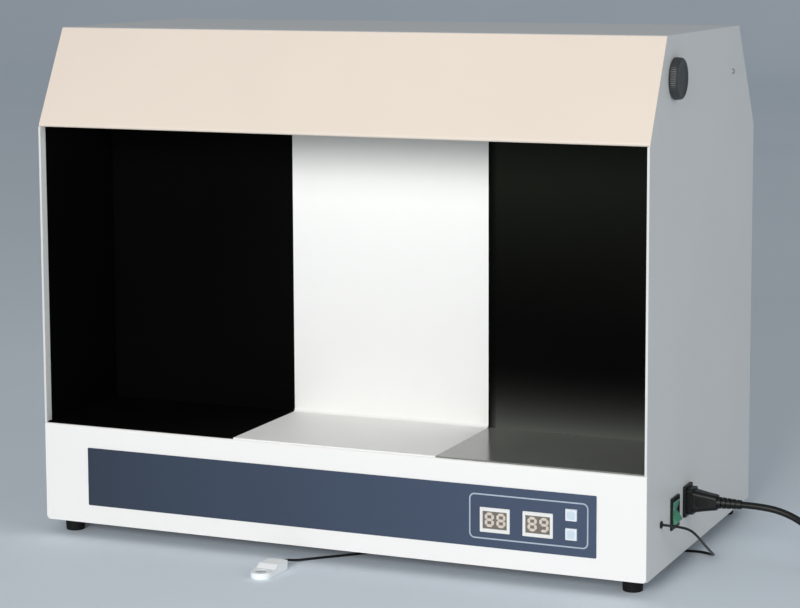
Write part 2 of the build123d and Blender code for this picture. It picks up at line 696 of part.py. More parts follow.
# Dimmer: knob, shaft, potentiometer and its nut
knob_plane = Plane((half, knob_y, knob_z), x_dir=(0, 1, 0), z_dir=(1, 0, 0))
hub_radius = 6
knob_recess_depth = 4.5
nut_thickness = 2.4
set_screw_x = half + 5
shaft_reach = knob_gap + knob_bore_depth
with BuildPart() as dimmer_knob:
    with BuildSketch(knob_plane.offset(knob_gap)):
        Circle(knob_diameter / 2)
    extrude(amount=knob_height - knob_gap, taper=3)
    fillet(dimmer_knob.faces().sort_by(Axis.X)[-1].edges(), radius=1.2)
    with BuildSketch(knob_plane.offset(knob_gap)):
        Circle(knob_diameter / 2 - 3)
        Circle(hub_radius, mode=Mode.SUBTRACT)
    extrude(amount=knob_recess_depth, mode=Mode.SUBTRACT)
    with BuildSketch(knob_plane.offset(knob_gap)):
        Circle(hub_radius)
    extrude(amount=nut_thickness, mode=Mode.SUBTRACT)
    with BuildSketch(knob_plane.offset(knob_gap)):
        Circle(shaft_diameter / 2)
    extrude(amount=knob_bore_depth, mode=Mode.SUBTRACT)
    with Locations(Plane((set_screw_x, knob_y, knob_z), z_dir=(0, 0, 1))):
        Cylinder(1.3, knob_diameter, align=(Align.CENTER, Align.CENTER, Align.MIN), mode=Mode.SUBTRACT)
dimmer_knob.part.label = "dimmer_knob"
export_step(dimmer_knob.part, "parts/dimmer_knob.step")

with BuildPart() as knob_set_screw:
    with Locations(Plane((set_screw_x, knob_y, knob_z + shaft_diameter / 2 + 0.02), z_dir=(0, 0, 1))):
        Cylinder(1.25, 4.5, align=(Align.CENTER, Align.CENTER, Align.MIN))
knob_set_screw.part.label = "knob_set_screw"
export_step(knob_set_screw.part, "parts/knob_set_screw.step")

pot_depth = 11
with BuildPart() as dimmer_shaft:
    with BuildSketch(knob_plane.offset(-sheet - pot_depth + 2)):
        Circle(shaft_diameter / 2 - 0.01)
    extrude(amount=sheet + pot_depth - 2 + shaft_reach - 0.02)
dimmer_shaft.part.label = "dimmer_shaft"
export_step(dimmer_shaft.part, "parts/dimmer_shaft.step")

with BuildPart() as potentiometer_body:
    with BuildSketch(knob_plane.offset(-sheet - pot_depth)):
        Circle(12)
        with Locations((0, -14)):
            Rectangle(14, 8)
    extrude(amount=pot_depth)
    with BuildSketch(knob_plane.offset(-sheet)):
        Circle(4.5)
    extrude(amount=sheet + knob_gap + 1.4)
    with BuildSketch(knob_plane.offset(-sheet - pot_depth + 1.5)):
        Circle(shaft_diameter / 2 + running_gap)
    extrude(amount=30, mode=Mode.SUBTRACT)
potentiometer_body.part.label = "potentiometer_body"
export_step(potentiometer_body.part, "parts/potentiometer_body.step")

with BuildPart() as potentiometer_nut:
    with BuildSketch(knob_plane):
        RegularPolygon(5.6, 6)
        Circle(4.55, mode=Mode.SUBTRACT)
    extrude(amount=knob_gap + 1.2)
potentiometer_nut.part.label = "potentiometer_nut"
export_step(potentiometer_nut.part, "parts/potentiometer_nut.step")

# Power switch: housing with a round cavity, and a rocker that turns about a level pin
rocker_radius = 13
rocker_width = 19.4
pivot_x = half - 3.5
bezel_thickness = 2.2
switch_plane = Plane((half, switch_y, switch_z), x_dir=(0, 1, 0), z_dir=(1, 0, 0))
pivot_plane = Plane((pivot_x, switch_y, switch_z), x_dir=(1, 0, 0), z_dir=(0, -1, 0))
body_depth = 21
with BuildPart() as switch_housing:
    with BuildSketch(switch_plane):
        RectangleRounded(switch_bezel_width, switch_bezel_height, 1.5)
    extrude(amount=bezel_thickness)
    fillet(switch_housing.faces().sort_by(Axis.X)[-1].edges(), radius=1)
    with BuildSketch(switch_plane):
        Rectangle(22, 28)
    extrude(amount=-body_depth)
    with BuildSketch(pivot_plane):
        Circle(rocker_radius + 0.4)
    extrude(amount=rocker_width / 2 + 0.3, both=True, mode=Mode.SUBTRACT)
    with BuildSketch(pivot_plane):
        Circle(1.5 + running_gap)
    extrude(amount=10.8, both=True, mode=Mode.SUBTRACT)
switch_housing.part.label = "switch_housing"
export_step(switch_housing.part, "parts/switch_housing.step")

# Rocker at rest in the ON position, its upper half pressed in
valley = 3.6
rise = 8.4
with BuildPart() as power_rocker:
    with BuildSketch(pivot_plane.rotated((0, -rocker_tilt, 0), ordering=Extrinsic.XYZ)):
        Circle(rocker_radius)
        with BuildLine():
            Polyline((-6, -20), (rise + 3, -20), (rise + 1.2, -rocker_radius + 1), (valley, 0),
                     (rise + 1.2, rocker_radius - 1), (rise + 3, 20), (-6, 20), close=True)
        make_face(mode=Mode.INTERSECT)
    extrude(amount=rocker_width / 2, both=True)
    fillet(power_rocker.edges().filter_by(Axis.Y).group_by(Axis.X)[-1], radius=0.8)
    with BuildSketch(pivot_plane):
        Circle(1.5)
    extrude(amount=10.5, both=True)
power_rocker.part.label = "power_rocker"
export_step(power_rocker.part, "parts/power_rocker.step")

with BuildPart() as switch_terminals:
    with Locations(*[(half - body_depth, switch_y + dy, switch_z + dz) for dy in (-5, 5) for dz in (-8, 0, 8)]):
        Box(9, 0.8, 4.8, align=(Align.MAX, Align.CENTER, Align.CENTER))
switch_terminals.part.label = "switch_terminals"
export_step(switch_terminals.part, "parts/switch_terminals.step")

# Mains inlet: flange, snap-in body and the cavity that takes the connector
inlet_plane = Plane((half, inlet_y, inlet_z), x_dir=(0, 1, 0), z_dir=(1, 0, 0))
flange_thickness = 3
cavity_depth = 15.5
inlet_pins_z = (-7, 0, 7)
with BuildPart() as inlet_socket:
    with BuildSketch(inlet_plane):
        RectangleRounded(inlet_width, inlet_height, 2)
    extrude(amount=flange_thickness)
    fillet(inlet_socket.faces().sort_by(Axis.X)[-1].edges(), radius=1)
    with BuildSketch(inlet_plane):
        Rectangle(20, 27.4)
    extrude(amount=-19)
    with BuildSketch(inlet_plane.offset(flange_thickness)):
        RectangleRounded(16.8, 24.6, 2)
    extrude(amount=-cavity_depth, mode=Mode.SUBTRACT)
    with Locations(*[(half, inlet_y + (2 if dz == 0 else -2), inlet_z + dz) for dz in inlet_pins_z]):
        Box(60, 4.1, 2.1, mode=Mode.SUBTRACT)
inlet_socket.part.label = "inlet_socket"
export_step(inlet_socket.part, "parts/inlet_socket.step")

with BuildPart() as inlet_pins:
    with Locations(*[(half + 1, inlet_y + (2 if dz == 0 else -2), inlet_z + dz) for dz in inlet_pins_z]):
        Box(30, 4, 2, align=(Align.MAX, Align.CENTER, Align.CENTER))
inlet_pins.part.label = "inlet_pins"
export_step(inlet_pins.part, "parts/inlet_pins.step")

# Mains connector pushed into the inlet: nose, collar and waisted grip
grip_start = flange_thickness + 6
grip_length = 24
grip_end_x = half + grip_start + grip_length
with BuildPart() as mains_connector:
    with BuildSketch(inlet_plane.offset(flange_thickness - 15)):
        RectangleRounded(16, 24, 2)
    extrude(amount=15)
    with BuildSketch(inlet_plane.offset(flange_thickness)):
        RectangleRounded(20, 27, 3)
    extrude(amount=6)
    with BuildSketch(inlet_plane.offset(grip_start)):
        RectangleRounded(18, 23, 4)
    with BuildSketch(inlet_plane.offset(grip_start + grip_length * 0.6)):
        RectangleRounded(15, 18, 4)
    with BuildSketch(inlet_plane.offset(grip_start + grip_length)):
        RectangleRounded(14, 15, 4)
    loft(ruled=True)
    for side in (-1, 1):
        with BuildSketch(Plane.XZ.offset(-inlet_y - side * 11)):
            with Locations((half + grip_start + 10, inlet_z)):
                SlotOverall(15, 9)
        extrude(amount=side * 3.6, mode=Mode.SUBTRACT)
    with Locations(*[(half + 2, inlet_y + (2 if dz == 0 else -2), inlet_z + dz) for dz in inlet_pins_z]):
        Box(16, 4.2, 2.2, align=(Align.MAX, Align.CENTER, Align.CENTER), mode=Mode.SUBTRACT)
mains_connector.part.label = "mains_connector"
export_step(mains_connector.part, "parts/mains_connector.step")

# Tapered, ribbed strain relief between the grip and the cord
relief_length = 25
relief_end_x = grip_end_x + relief_length
with BuildPart() as connector_strain_relief:
    with BuildSketch(inlet_plane.offset(grip_end_x - half)):
        Circle(6.2)
    with BuildSketch(inlet_plane.offset(relief_end_x - half)):
        Circle(4.6)
    loft()
    for rib in range(4):
        with BuildSketch(inlet_plane.offset(grip_end_x - half + 4 + 5 * rib)):
            Circle(8)
            Circle(4.2, mode=Mode.SUBTRACT)
        extrude(amount=1.6, mode=Mode.SUBTRACT)
connector_strain_relief.part.label = "connector_strain_relief"
export_step(connector_strain_relief.part, "parts/connector_strain_relief.step")

# Inner wiring: each wire is straight runs with rounded corners, at its own height
wire_diameter = 2
wire_bend = 6
terminal_x = half - body_depth - 9
pin_tail_x = half + 1 - 30
holder_wire_z = reflector_top_z + reflector_sheet
ballast_wire_z = base_z + 36
riser_z = base_z + 288
top_wire_z = top_z - 30
wire_routes = {
    "inlet to switch": [(pin_tail_x, inlet_y - 2, inlet_z + 7), (296, inlet_y - 2, inlet_z + 7),
                        (296, switch_y + 5, switch_z + 8), (terminal_x, switch_y + 5, switch_z + 8)],
    "switch to terminals": [(terminal_x, switch_y - 5, switch_z), (286, switch_y - 5, switch_z),
                            (286, switch_y - 5, base_z + 28), (286, 8, base_z + 28),
                            (282, 34, base_z + 10), (282, 49, base_z + 10)],
    "inlet to terminals": [(pin_tail_x, inlet_y - 2, inlet_z - 7), (276, inlet_y - 2, inlet_z - 7),
                           (276, inlet_y - 2, base_z + 22), (276, 10, base_z + 22),
                           (270, 36, base_z + 12), (270, 49, base_z + 12)],
    "earth to tray": [(pin_tail_x, inlet_y + 2, inlet_z), (304, inlet_y + 2, inlet_z),
                      (304, inlet_y + 2, base_z + 18), (304, 10, base_z + 18), (304, 10, tray_top_z)],
    "terminals to ballast": [(258, 71, base_z + 10), (258, 90, base_z + 10), (200, 100, base_z + 10),
                             (190, 166, base_z + 10), (-26, 166, ballast_wire_z),
                             (-42, 152, ballast_wire_z), (-42, ballast_y + 17, ballast_wire_z)],
    "ballast to left holder": [(-218, ballast_y + 17, ballast_wire_z), (-218, 158, ballast_wire_z),
                               (-300, 158, base_z + 48), (-300, 158, riser_z), (-300, 20, wire_hole_z),
                               (-300, -66, wire_hole_z), (-300, -90, top_wire_z),
                               (-300, lamp_y, top_wire_z), (-300, lamp_y, holder_wire_z)],
    "ballast to right holder": [(-42, ballast_y - 17, ballast_wire_z), (-42, 80, ballast_wire_z),
                                (300, 80, base_z + 48), (300, 80, riser_z), (300, 20, wire_hole_z),
                                (300, -66, wire_hole_z), (300, -90, top_wire_z),
                                (300, lamp_y, top_wire_z), (300, lamp_y, holder_wire_z)],
}
with BuildPart() as inner_wiring:
    for route in wire_routes.values():
        with BuildLine() as wire_path:
            FilletPolyline(*route, radius=wire_bend)
        with BuildSketch(Plane(wire_path.line @ 0, z_dir=wire_path.line % 0)):
            Circle(wire_diameter / 2)
        sweep()
inner_wiring.part.label = "inner_wiring"
export_step(inner_wiring.part, "parts/inner_wiring.step")

# Free stretch of the mains cord, from the strain relief down to the bench and the coil
coil_x = 548
coil_y = front_y + 212
coil_pitch = 7.8
layer_rise = 7.6
coil_outer = 49
coil_bed_z = 5
coil_start_x = coil_x - mains_diameter
coil_start_y = coil_y - coil_outer
mains_route = [
    (relief_end_x, inlet_y, inlet_z),
    (423, inlet_y, inlet_z),
    (446, front_y + 139, 62.5),
    (464, front_y + 143, 51.5),
    (478, front_y + 148, 36.5),
    (492, front_y + 153.5, 21.5),
    (507, front_y + 158.5, 10),
    (523, coil_start_y, coil_bed_z),
    (coil_start_x, coil_start_y, coil_bed_z),
]
mains_radii = corner_radii(mains_route)
with BuildPart() as mains_cord:
    with BuildLine() as mains_path:
        FilletPolyline(*mains_route, radius=mains_radii)
    with BuildSketch(Plane(mains_path.line @ 0, z_dir=mains_path.line % 0)):
        Circle(mains_diameter / 2)
    sweep()
mains_cord.part.label = "mains_cord"
export_step(mains_cord.part, "parts/mains_cord.step")
report_cord("mains_cord", mains_cord.part, mains_path.wires()[0].length, mains_diameter, mains_radii)

# Put-away length of the mains cord: two layers of turns, spiralling in and then out
turns_in = 2.25
turns_climb = 0.5
turns_out = 2.5
coil_turns = turns_in + turns_climb + turns_out
coil_inner = coil_outer - turns_in * coil_pitch
coil_top_z = coil_bed_z + layer_rise
plug_axis_z = 16


def ease(share):
    """Smooth rise from 0 to 1 that starts and ends level."""
    return share * share * (3 - 2 * share)


def coil_point(turn):
    """Middle of the cord after so many turns, counted from where it reaches the coil."""
    if turn <= turns_in:
        radius = coil_outer - coil_pitch * turn
        height = coil_bed_z
    elif turn <= turns_in + turns_climb:
        share = (turn - turns_in) / turns_climb
        radius = coil_inner - coil_pitch / 2 * share * (1 - share)
        height = coil_bed_z + layer_rise * ease(share)
    else:
        radius = coil_inner + coil_pitch * (turn - turns_in - turns_climb)
        to_end = coil_turns - turn
        height = coil_top_z + (plug_axis_z - coil_top_z) * ease(max(0, 1 - to_end / 0.5))
    angle = 2 * math.pi * (turn - 0.25)
    return Vector(coil_x + radius * math.cos(angle), coil_y + radius * math.sin(angle), height)


def coil_tangent(turn):
    """Direction of the cord after so many turns; it is level and square to the radius at both ends."""
    if turn == 0:
        return Vector(1, 0, 0)
    if turn == coil_turns:
        return Vector(0, 1, 0)
    step = 1e-4
    return (coil_point(turn + step) - coil_point(turn - step)).normalized()


def arc_middle(start, corner, end):
    """Middle of the arc that touches start-corner at start and corner-end at end."""
    chord = end - start
    cosine = chord.length / 2 / (corner - start).length
    middle = start + chord * 0.5
    return middle + (corner - middle) * (cosine / (1 + cosine))


def biarc(start, start_tangent, end, end_tangent):
    """Two arcs that leave start and reach end along the given directions, as two point triples."""
    chord = end - start
    both = start_tangent + end_tangent
    along = chord.dot(both)
    turn_factor = 2 * (1 - start_tangent.dot(end_tangent))
    reach = (math.sqrt(along**2 + turn_factor * chord.dot(chord)) - along) / turn_factor
    first_corner = start + start_tangent * reach
    second_corner = end - end_tangent * reach
    joint = (first_corner + second_corner) * 0.5
    first = (start, arc_middle(start, first_corner, joint), joint)
    second = (joint, arc_middle(joint, second_corner, end), end)
    return first, second


# The turns are biarcs of a quarter turn each, with a straight start and end of one diameter
quarters = [quarter / 4 for quarter in range(round(coil_turns * 4) + 1)]
coil_end = coil_point(coil_turns)
plug_start = coil_end + Vector(0, mains_diameter, 0)
with BuildPart() as mains_cord_coil:
    with BuildLine() as coil_path:
        Line((coil_start_x, coil_start_y, coil_bed_z), coil_point(0))
        for before, after in zip(quarters, quarters[1:]):
            for arc in biarc(coil_point(before), coil_tangent(before), coil_point(after), coil_tangent(after)):
                ThreePointArc(*arc)
        Line(coil_end, plug_start)
    with BuildSketch(Plane((coil_start_x, coil_start_y, coil_bed_z), z_dir=(1, 0, 0))):
        Circle(mains_diameter / 2)
    sweep()
mains_cord_coil.part.label = "mains_cord_coil"
export_step(mains_cord_coil.part, "parts/mains_cord_coil.step")
coil_wire = coil_path.wires()[0]
coil_samples = [coil_wire.position_at(i / 1200) for i in range(1201)]
skip = math.ceil(1200 * 3 * mains_diameter / coil_wire.length)
coil_gap = min((coil_samples[i] - coil_samples[j]).length
               for i in range(0, 1201, 2) for j in range(i + skip, 1201)) - mains_diameter
coil_volume_ratio = mains_cord_coil.part.volume / (math.pi * mains_diameter**2 / 4 * coil_wire.length)
print(f"mains_cord_coil: length {coil_wire.length:.0f}, volume {coil_volume_ratio:.4f} of section x length,")
print(f"  least gap to itself {coil_gap:.2f}, mean diameter {coil_outer + coil_inner:.0f}")

# Tie round the bundle of turns, on the side away from the cord's ends
tie_angle = 160
tie_middle = (coil_outer + coil_inner) / 2 + 0.6
tie_plane = Plane((coil_x, coil_y, 0), x_dir=(math.cos(math.radians(tie_angle)),
                                               math.sin(math.radians(tie_angle)), 0),
                  z_dir=(math.sin(math.radians(tie_angle)), -math.cos(math.radians(tie_angle)), 0))
tie_width = 12
tie_thickness = 0.9
with BuildPart() as cord_tie:
    with BuildSketch(tie_plane):
        with Locations((tie_middle, 9.4)):
            RectangleRounded(34.4, 18.6, 6)
            RectangleRounded(34.4 - 2 * tie_thickness, 18.6 - 2 * tie_thickness, 5.1, mode=Mode.SUBTRACT)
    extrude(amount=tie_width / 2, both=True)
cord_tie.part.label = "cord_tie"
export_step(cord_tie.part, "parts/cord_tie.step")

# Mains plug lying beside the coil, with its strain relief and three flat pins
plug_plane = Plane(plug_start, x_dir=(1, 0, 0), z_dir=(0, 1, 0))
plug_relief_length = 24
plug_grip_length = 30
plug_face_start = plug_relief_length + plug_grip_length
with BuildPart() as plug_strain_relief:
    with BuildSketch(plug_plane):
        Circle(4.6)
    with BuildSketch(plug_plane.offset(plug_relief_length)):
        Circle(6.4)
    loft()
    for rib in range(4):
        with BuildSketch(plug_plane.offset(3 + 5 * rib)):
            Circle(8)
            Circle(4.2, mode=Mode.SUBTRACT)
        extrude(amount=1.6, mode=Mode.SUBTRACT)
plug_strain_relief.part.label = "plug_strain_relief"
export_step(plug_strain_relief.part, "parts/plug_strain_relief.step")

with BuildPart() as mains_plug:
    with BuildSketch(plug_plane.offset(plug_relief_length)):
        RectangleRounded(16, 15, 5)
    with BuildSketch(plug_plane.offset(plug_relief_length + plug_grip_length * 0.55)):
        RectangleRounded(24, 20, 6)
    with BuildSketch(plug_plane.offset(plug_face_start)):
        RectangleRounded(35, 31, 8)
    loft(ruled=True)
    with BuildSketch(plug_plane.offset(plug_face_start)):
        RectangleRounded(37, 32, 8)
    extrude(amount=7)
    fillet(mains_plug.faces().sort_by(Axis.Y)[-1].edges(), radius=1)
mains_plug.part.label = "mains_plug"
export_step(mains_plug.part, "parts/mains_plug.step")

# Pins: live and neutral splayed, earth upright
pin_face = plug_face_start + 7
with BuildPart() as plug_pins:
    with BuildSketch(plug_plane.offset(pin_face)):
        with Locations(Location((-7.9, -4, 0), (0, 0, 30)), Location((7.9, -4, 0), (0, 0, -30))):
            Rectangle(1.6, 6.4)
        with Locations((0, 9)):
            Rectangle(1.6, 6.4)
    extrude(amount=18)
    chamfer(plug_pins.faces().sort_by(Axis.Y)[-3:].edges(), length=0.5)
plug_pins.part.label = "plug_pins"
export_step(plug_pins.part, "parts/plug_pins.step")

# Illuminance probe on the bench in front: two shells and a diffusing window
probe_angle = 88
probe_length = 50
probe_width = 21.5
probe_wall = 1.6
probe_split_z = 4
sensor_end_z = 6.6
probe_top_z = 10.5
probe_lead_z = 6.8
probe_turn = math.radians(probe_angle)
probe_plane = Plane((-41.5, front_y - 61, 0), x_dir=(math.cos(probe_turn), math.sin(probe_turn), 0),
                    z_dir=(0, 0, 1))
sensor_u = (probe_width - probe_length) / 2
corner_radius = 3.5


def probe_outline(inset):
    """The probe from above, smaller by a wall: a round sensor head that runs on into a box."""
    radius = corner_radius - inset / 2
    box_start = sensor_u - radius
    box_end = probe_length / 2 - inset
    with Locations((sensor_u, 0)):
        Circle(probe_width / 2 - inset)
    with Locations(((box_start + box_end) / 2, 0)):
        RectangleRounded(box_end - box_start, probe_width - 2 * inset, radius)


with BuildPart() as probe_lower_shell:
    with BuildSketch(probe_plane):
        probe_outline(0)
    extrude(amount=probe_split_z)
    chamfer(probe_lower_shell.faces().sort_by(Axis.Z)[0].edges(), length=0.8)
    with BuildSketch(probe_plane.offset(probe_wall)):
        probe_outline(probe_wall)
    extrude(amount=probe_split_z, mode=Mode.SUBTRACT)
probe_lower_shell.part.label = "probe_lower_shell"
export_step(probe_lower_shell.part, "parts/probe_lower_shell.step")

probe_side = Plane(probe_plane.origin, x_dir=probe_plane.x_dir, z_dir=-probe_plane.y_dir)
with BuildPart() as probe_upper_shell:
    with BuildSketch(probe_plane.offset(probe_split_z)):
        probe_outline(0)
    extrude(amount=probe_top_z - probe_split_z)
    with BuildSketch(probe_side):
        with BuildLine():
            Polyline((-probe_length, sensor_end_z - 0.6), (-5, sensor_end_z + 0.3), (2, probe_top_z),
                     (probe_length / 2 - 6, probe_top_z - 0.4), (probe_length, probe_top_z - 2.6),
                     (probe_length, 30), (-probe_length, 30), close=True)
        make_face()
    extrude(amount=probe_width, both=True, mode=Mode.SUBTRACT)
    fillet(probe_upper_shell.edges().group_by(Axis.Z)[-1], radius=0.8)
    with BuildSketch(probe_plane.offset(probe_split_z)):
        probe_outline(probe_wall)
    extrude(amount=1, mode=Mode.SUBTRACT)
    with BuildSketch(probe_plane.offset(sensor_end_z - 1.2)):
        with Locations((sensor_u, 0)):
            Circle(6)
    extrude(amount=10, mode=Mode.SUBTRACT)
    with BuildSketch(Plane(probe_plane.origin + Vector(0, 0, probe_lead_z)
                           + probe_plane.x_dir * (probe_length / 2), z_dir=probe_plane.x_dir)):
        Circle(lead_diameter / 2 + running_gap)
    extrude(amount=-6, mode=Mode.SUBTRACT)
probe_upper_shell.part.label = "probe_upper_shell"
export_step(probe_upper_shell.part, "parts/probe_upper_shell.step")

with BuildPart() as probe_window:
    with BuildSketch(probe_plane.offset(sensor_end_z - 1.2)):
        with Locations((sensor_u, 0)):
            Circle(5.95)
    extrude(amount=0.6)
probe_window.part.label = "probe_window"
export_step(probe_window.part, "parts/probe_window.step")

# Grommet where the probe's lead leaves the right side
lead_plane = Plane((half, lead_y, lead_z), x_dir=(0, 1, 0), z_dir=(1, 0, 0))
grommet_proud = 1.5
with BuildPart() as probe_grommet:
    with BuildSketch(lead_plane):
        Circle(3.8)
    extrude(amount=grommet_proud)
    fillet(probe_grommet.faces().sort_by(Axis.X)[-1].edges(), radius=0.7)
    with BuildSketch(lead_plane.offset(-sheet)):
        Circle(2.95)
    extrude(amount=sheet)
    with BuildSketch(lead_plane.offset(-sheet - 1.5)):
        Circle(4.2)
    extrude(amount=1.5)
probe_grommet.part.label = "probe_grommet"
export_step(probe_grommet.part, "parts/probe_grommet.step")

# Lead of the probe: out of the grommet, down the side, under the casing and to the probe
probe_exit = probe_plane.origin + probe_plane.x_dir * (probe_length / 2) + Vector(0, 0, probe_lead_z)
after_exit = probe_exit + probe_plane.x_dir * 13 + Vector(0, 0, -1)
lead_on_bench_z = lead_diameter / 2
lead_route = [
    (half + grommet_proud, lead_y, lead_z),
    (half + 14, lead_y, lead_z),
    (half + 27, lead_y + 9, lead_z - 4),
    (half + 31, lead_y + 24, lead_z - 14.5),
    (half + 30.5, lead_y + 46, lead_z - 27),
    (half + 28.5, lead_y + 72, lead_z - 39.5),
    (half + 26, lead_y + 98, lead_z - 51),
    (half + 20, lead_y + 126, 2.2),
    (half + 3, lead_y + 139, lead_on_bench_z),
    (half - 22, lead_y + 134, lead_on_bench_z),
    (half - 52, lead_y + 112, lead_on_bench_z),
    (half - 100, lead_y + 92, lead_on_bench_z),
    (half - 155, lead_y + 86, lead_on_bench_z),
    (half - 212, lead_y + 76, lead_on_bench_z),
    (half - 264, lead_y + 52, lead_on_bench_z),
    (half - 306, lead_y + 14, lead_on_bench_z),
    (half - 336, lead_y - 16, lead_on_bench_z),
    (half - 355, lead_y - 34, lead_on_bench_z),
    (half - 367, lead_y - 46, lead_on_bench_z),
    (half - 375, lead_y - 58, 2.2),
    tuple(after_exit),
    tuple(probe_exit),
]
lead_radii = corner_radii(lead_route)
with BuildPart() as probe_lead:
    with BuildLine() as lead_path:
        FilletPolyline(*lead_route, radius=lead_radii)
    with BuildSketch(Plane(lead_path.line @ 0, z_dir=lead_path.line % 0)):
        Circle(lead_diameter / 2)
    sweep()
probe_lead.part.label = "probe_lead"
export_step(probe_lead.part, "parts/probe_lead.step")
report_cord("probe_lead", probe_lead.part, lead_path.wires()[0].length, lead_diameter, lead_radii)
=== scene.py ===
# %% [markdown]
# A light inspection cabinet, dressed in Blender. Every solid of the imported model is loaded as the
# frame and keeps its place. This file gives each of them a finish, adds the pieces that are too
# fine or too soft for solids, such as the digits and the cords, and sets up a plain studio.

# %% Load the frame
"""Looks of a bench cabinet for inspecting bottles in front of black and white backgrounds."""
import math
import bpy
import numpy as np
from mathutils import Matrix, Vector


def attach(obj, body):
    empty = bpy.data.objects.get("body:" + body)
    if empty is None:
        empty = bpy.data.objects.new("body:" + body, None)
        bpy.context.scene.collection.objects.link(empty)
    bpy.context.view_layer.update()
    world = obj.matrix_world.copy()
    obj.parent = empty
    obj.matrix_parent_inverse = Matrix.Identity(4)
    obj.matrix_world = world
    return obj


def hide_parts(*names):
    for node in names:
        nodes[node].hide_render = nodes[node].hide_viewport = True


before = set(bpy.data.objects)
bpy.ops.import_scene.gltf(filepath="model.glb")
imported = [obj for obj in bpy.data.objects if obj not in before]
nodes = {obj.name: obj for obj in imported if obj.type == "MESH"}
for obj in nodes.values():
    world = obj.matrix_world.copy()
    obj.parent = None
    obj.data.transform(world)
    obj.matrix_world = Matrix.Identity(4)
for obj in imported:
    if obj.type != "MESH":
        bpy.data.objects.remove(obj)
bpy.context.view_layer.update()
print("pieces in the frame:", len(nodes))

# %% [markdown]
# The same few sizes are used all through the file, in metres. The origin is on the bench under the
# middle of the casing, X runs to the right, Y to the back and Z up.

# %% Sizes that the scene shares with the solids
half_width = 0.340
front_y = -0.192
base_z = 0.015
display_z = base_z + 0.0482
timer_x, illuminance_x, key_x = 0.1822, 0.2278, 0.263
board_right_x = 0.117
strip_left_x, strip_right_x = -0.287, 0.289
strip_front_y = front_y - 0.0005

# %% [markdown]
# The camera comes first. Its place was fitted to the corners of the casing, the chamber and the
# strip. The view is built as three unit vectors, and a matrix holds them and the camera's place as
# its columns.

# %% Camera
azimuth = math.radians(23.302)
elevation = math.radians(-7.109)
roll = math.radians(-0.239)
forward = np.array([-math.sin(azimuth) * math.cos(elevation),
                    math.cos(azimuth) * math.cos(elevation), math.sin(elevation)])
right = np.cross(forward, (0.0, 0.0, 1.0))
right /= np.linalg.norm(right)
up = np.cross(right, forward)
rolled_right = right * math.cos(roll) + up * math.sin(roll)
rolled_up = up * math.cos(roll) - right * math.sin(roll)
camera_place = np.array([1.0040, -2.3371, 0.6487])
lens = bpy.data.cameras.new("camera")
lens.lens = 105.7
lens.sensor_width = 36.0
lens.shift_y = -0.1
lens.clip_end = 50.0
camera = bpy.data.objects.new("camera", lens)
camera_rows = np.column_stack([rolled_right, rolled_up, -forward, camera_place])
camera.matrix_world = Matrix([*camera_rows.tolist(), [0.0, 0.0, 0.0, 1.0]])
bpy.context.scene.collection.objects.link(camera)
bpy.context.scene.camera = camera
print("camera at", [round(c, 3) for c in camera.matrix_world.translation])

# %% [markdown]
# Blender keeps a surface as points and faces. All new pieces here are grids: one row of points
# for each step along a shape and one column for each step around it. A single helper turns a grid
# into a mesh, closes it where the shape closes on itself, and caps its ends where it is a tube.

# %% From a grid of points to a mesh
def grid_mesh(name, points, wrap_rows=False, wrap_columns=True, caps=False):
    """Mesh of a grid of points (rows x columns x 3); face (i, j) joins row i to i + 1 and column j
    to j + 1. Rows or columns wrap round where the shape is closed, and caps close the end rows."""
    points = np.asarray(points, float)
    rows, columns = points.shape[:2]
    last_row = rows if wrap_rows else rows - 1
    last_column = columns if wrap_columns else columns - 1
    i, j = np.meshgrid(np.arange(last_row), np.arange(last_column), indexing="ij")
    next_i, next_j = (i + 1) % rows, (j + 1) % columns
    quads = np.stack([i * columns + j, i * columns + next_j,
                      next_i * columns + next_j, next_i * columns + j], axis=-1).reshape(-1, 4)
    faces = quads.tolist()
    if caps:
        faces.append(list(range(columns))[::-1])
        faces.append([(rows - 1) * columns + j for j in range(columns)])
    mesh = bpy.data.meshes.new(name)
    mesh.from_pydata(points.reshape(-1, 3).tolist(), [], faces)
    mesh.validate()
    mesh.update()
    return mesh


def add_piece(name, mesh, body, material, smooth=True):
    """Puts a finished mesh into the scene on a body of the frame, with its finish and its slot."""
    piece = bpy.data.objects.new(name, mesh)
    bpy.context.scene.collection.objects.link(piece)
    mesh.materials.append(material)
    mesh.polygons.foreach_set("use_smooth", np.full(len(mesh.polygons), smooth))
    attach(piece, body)
    return piece
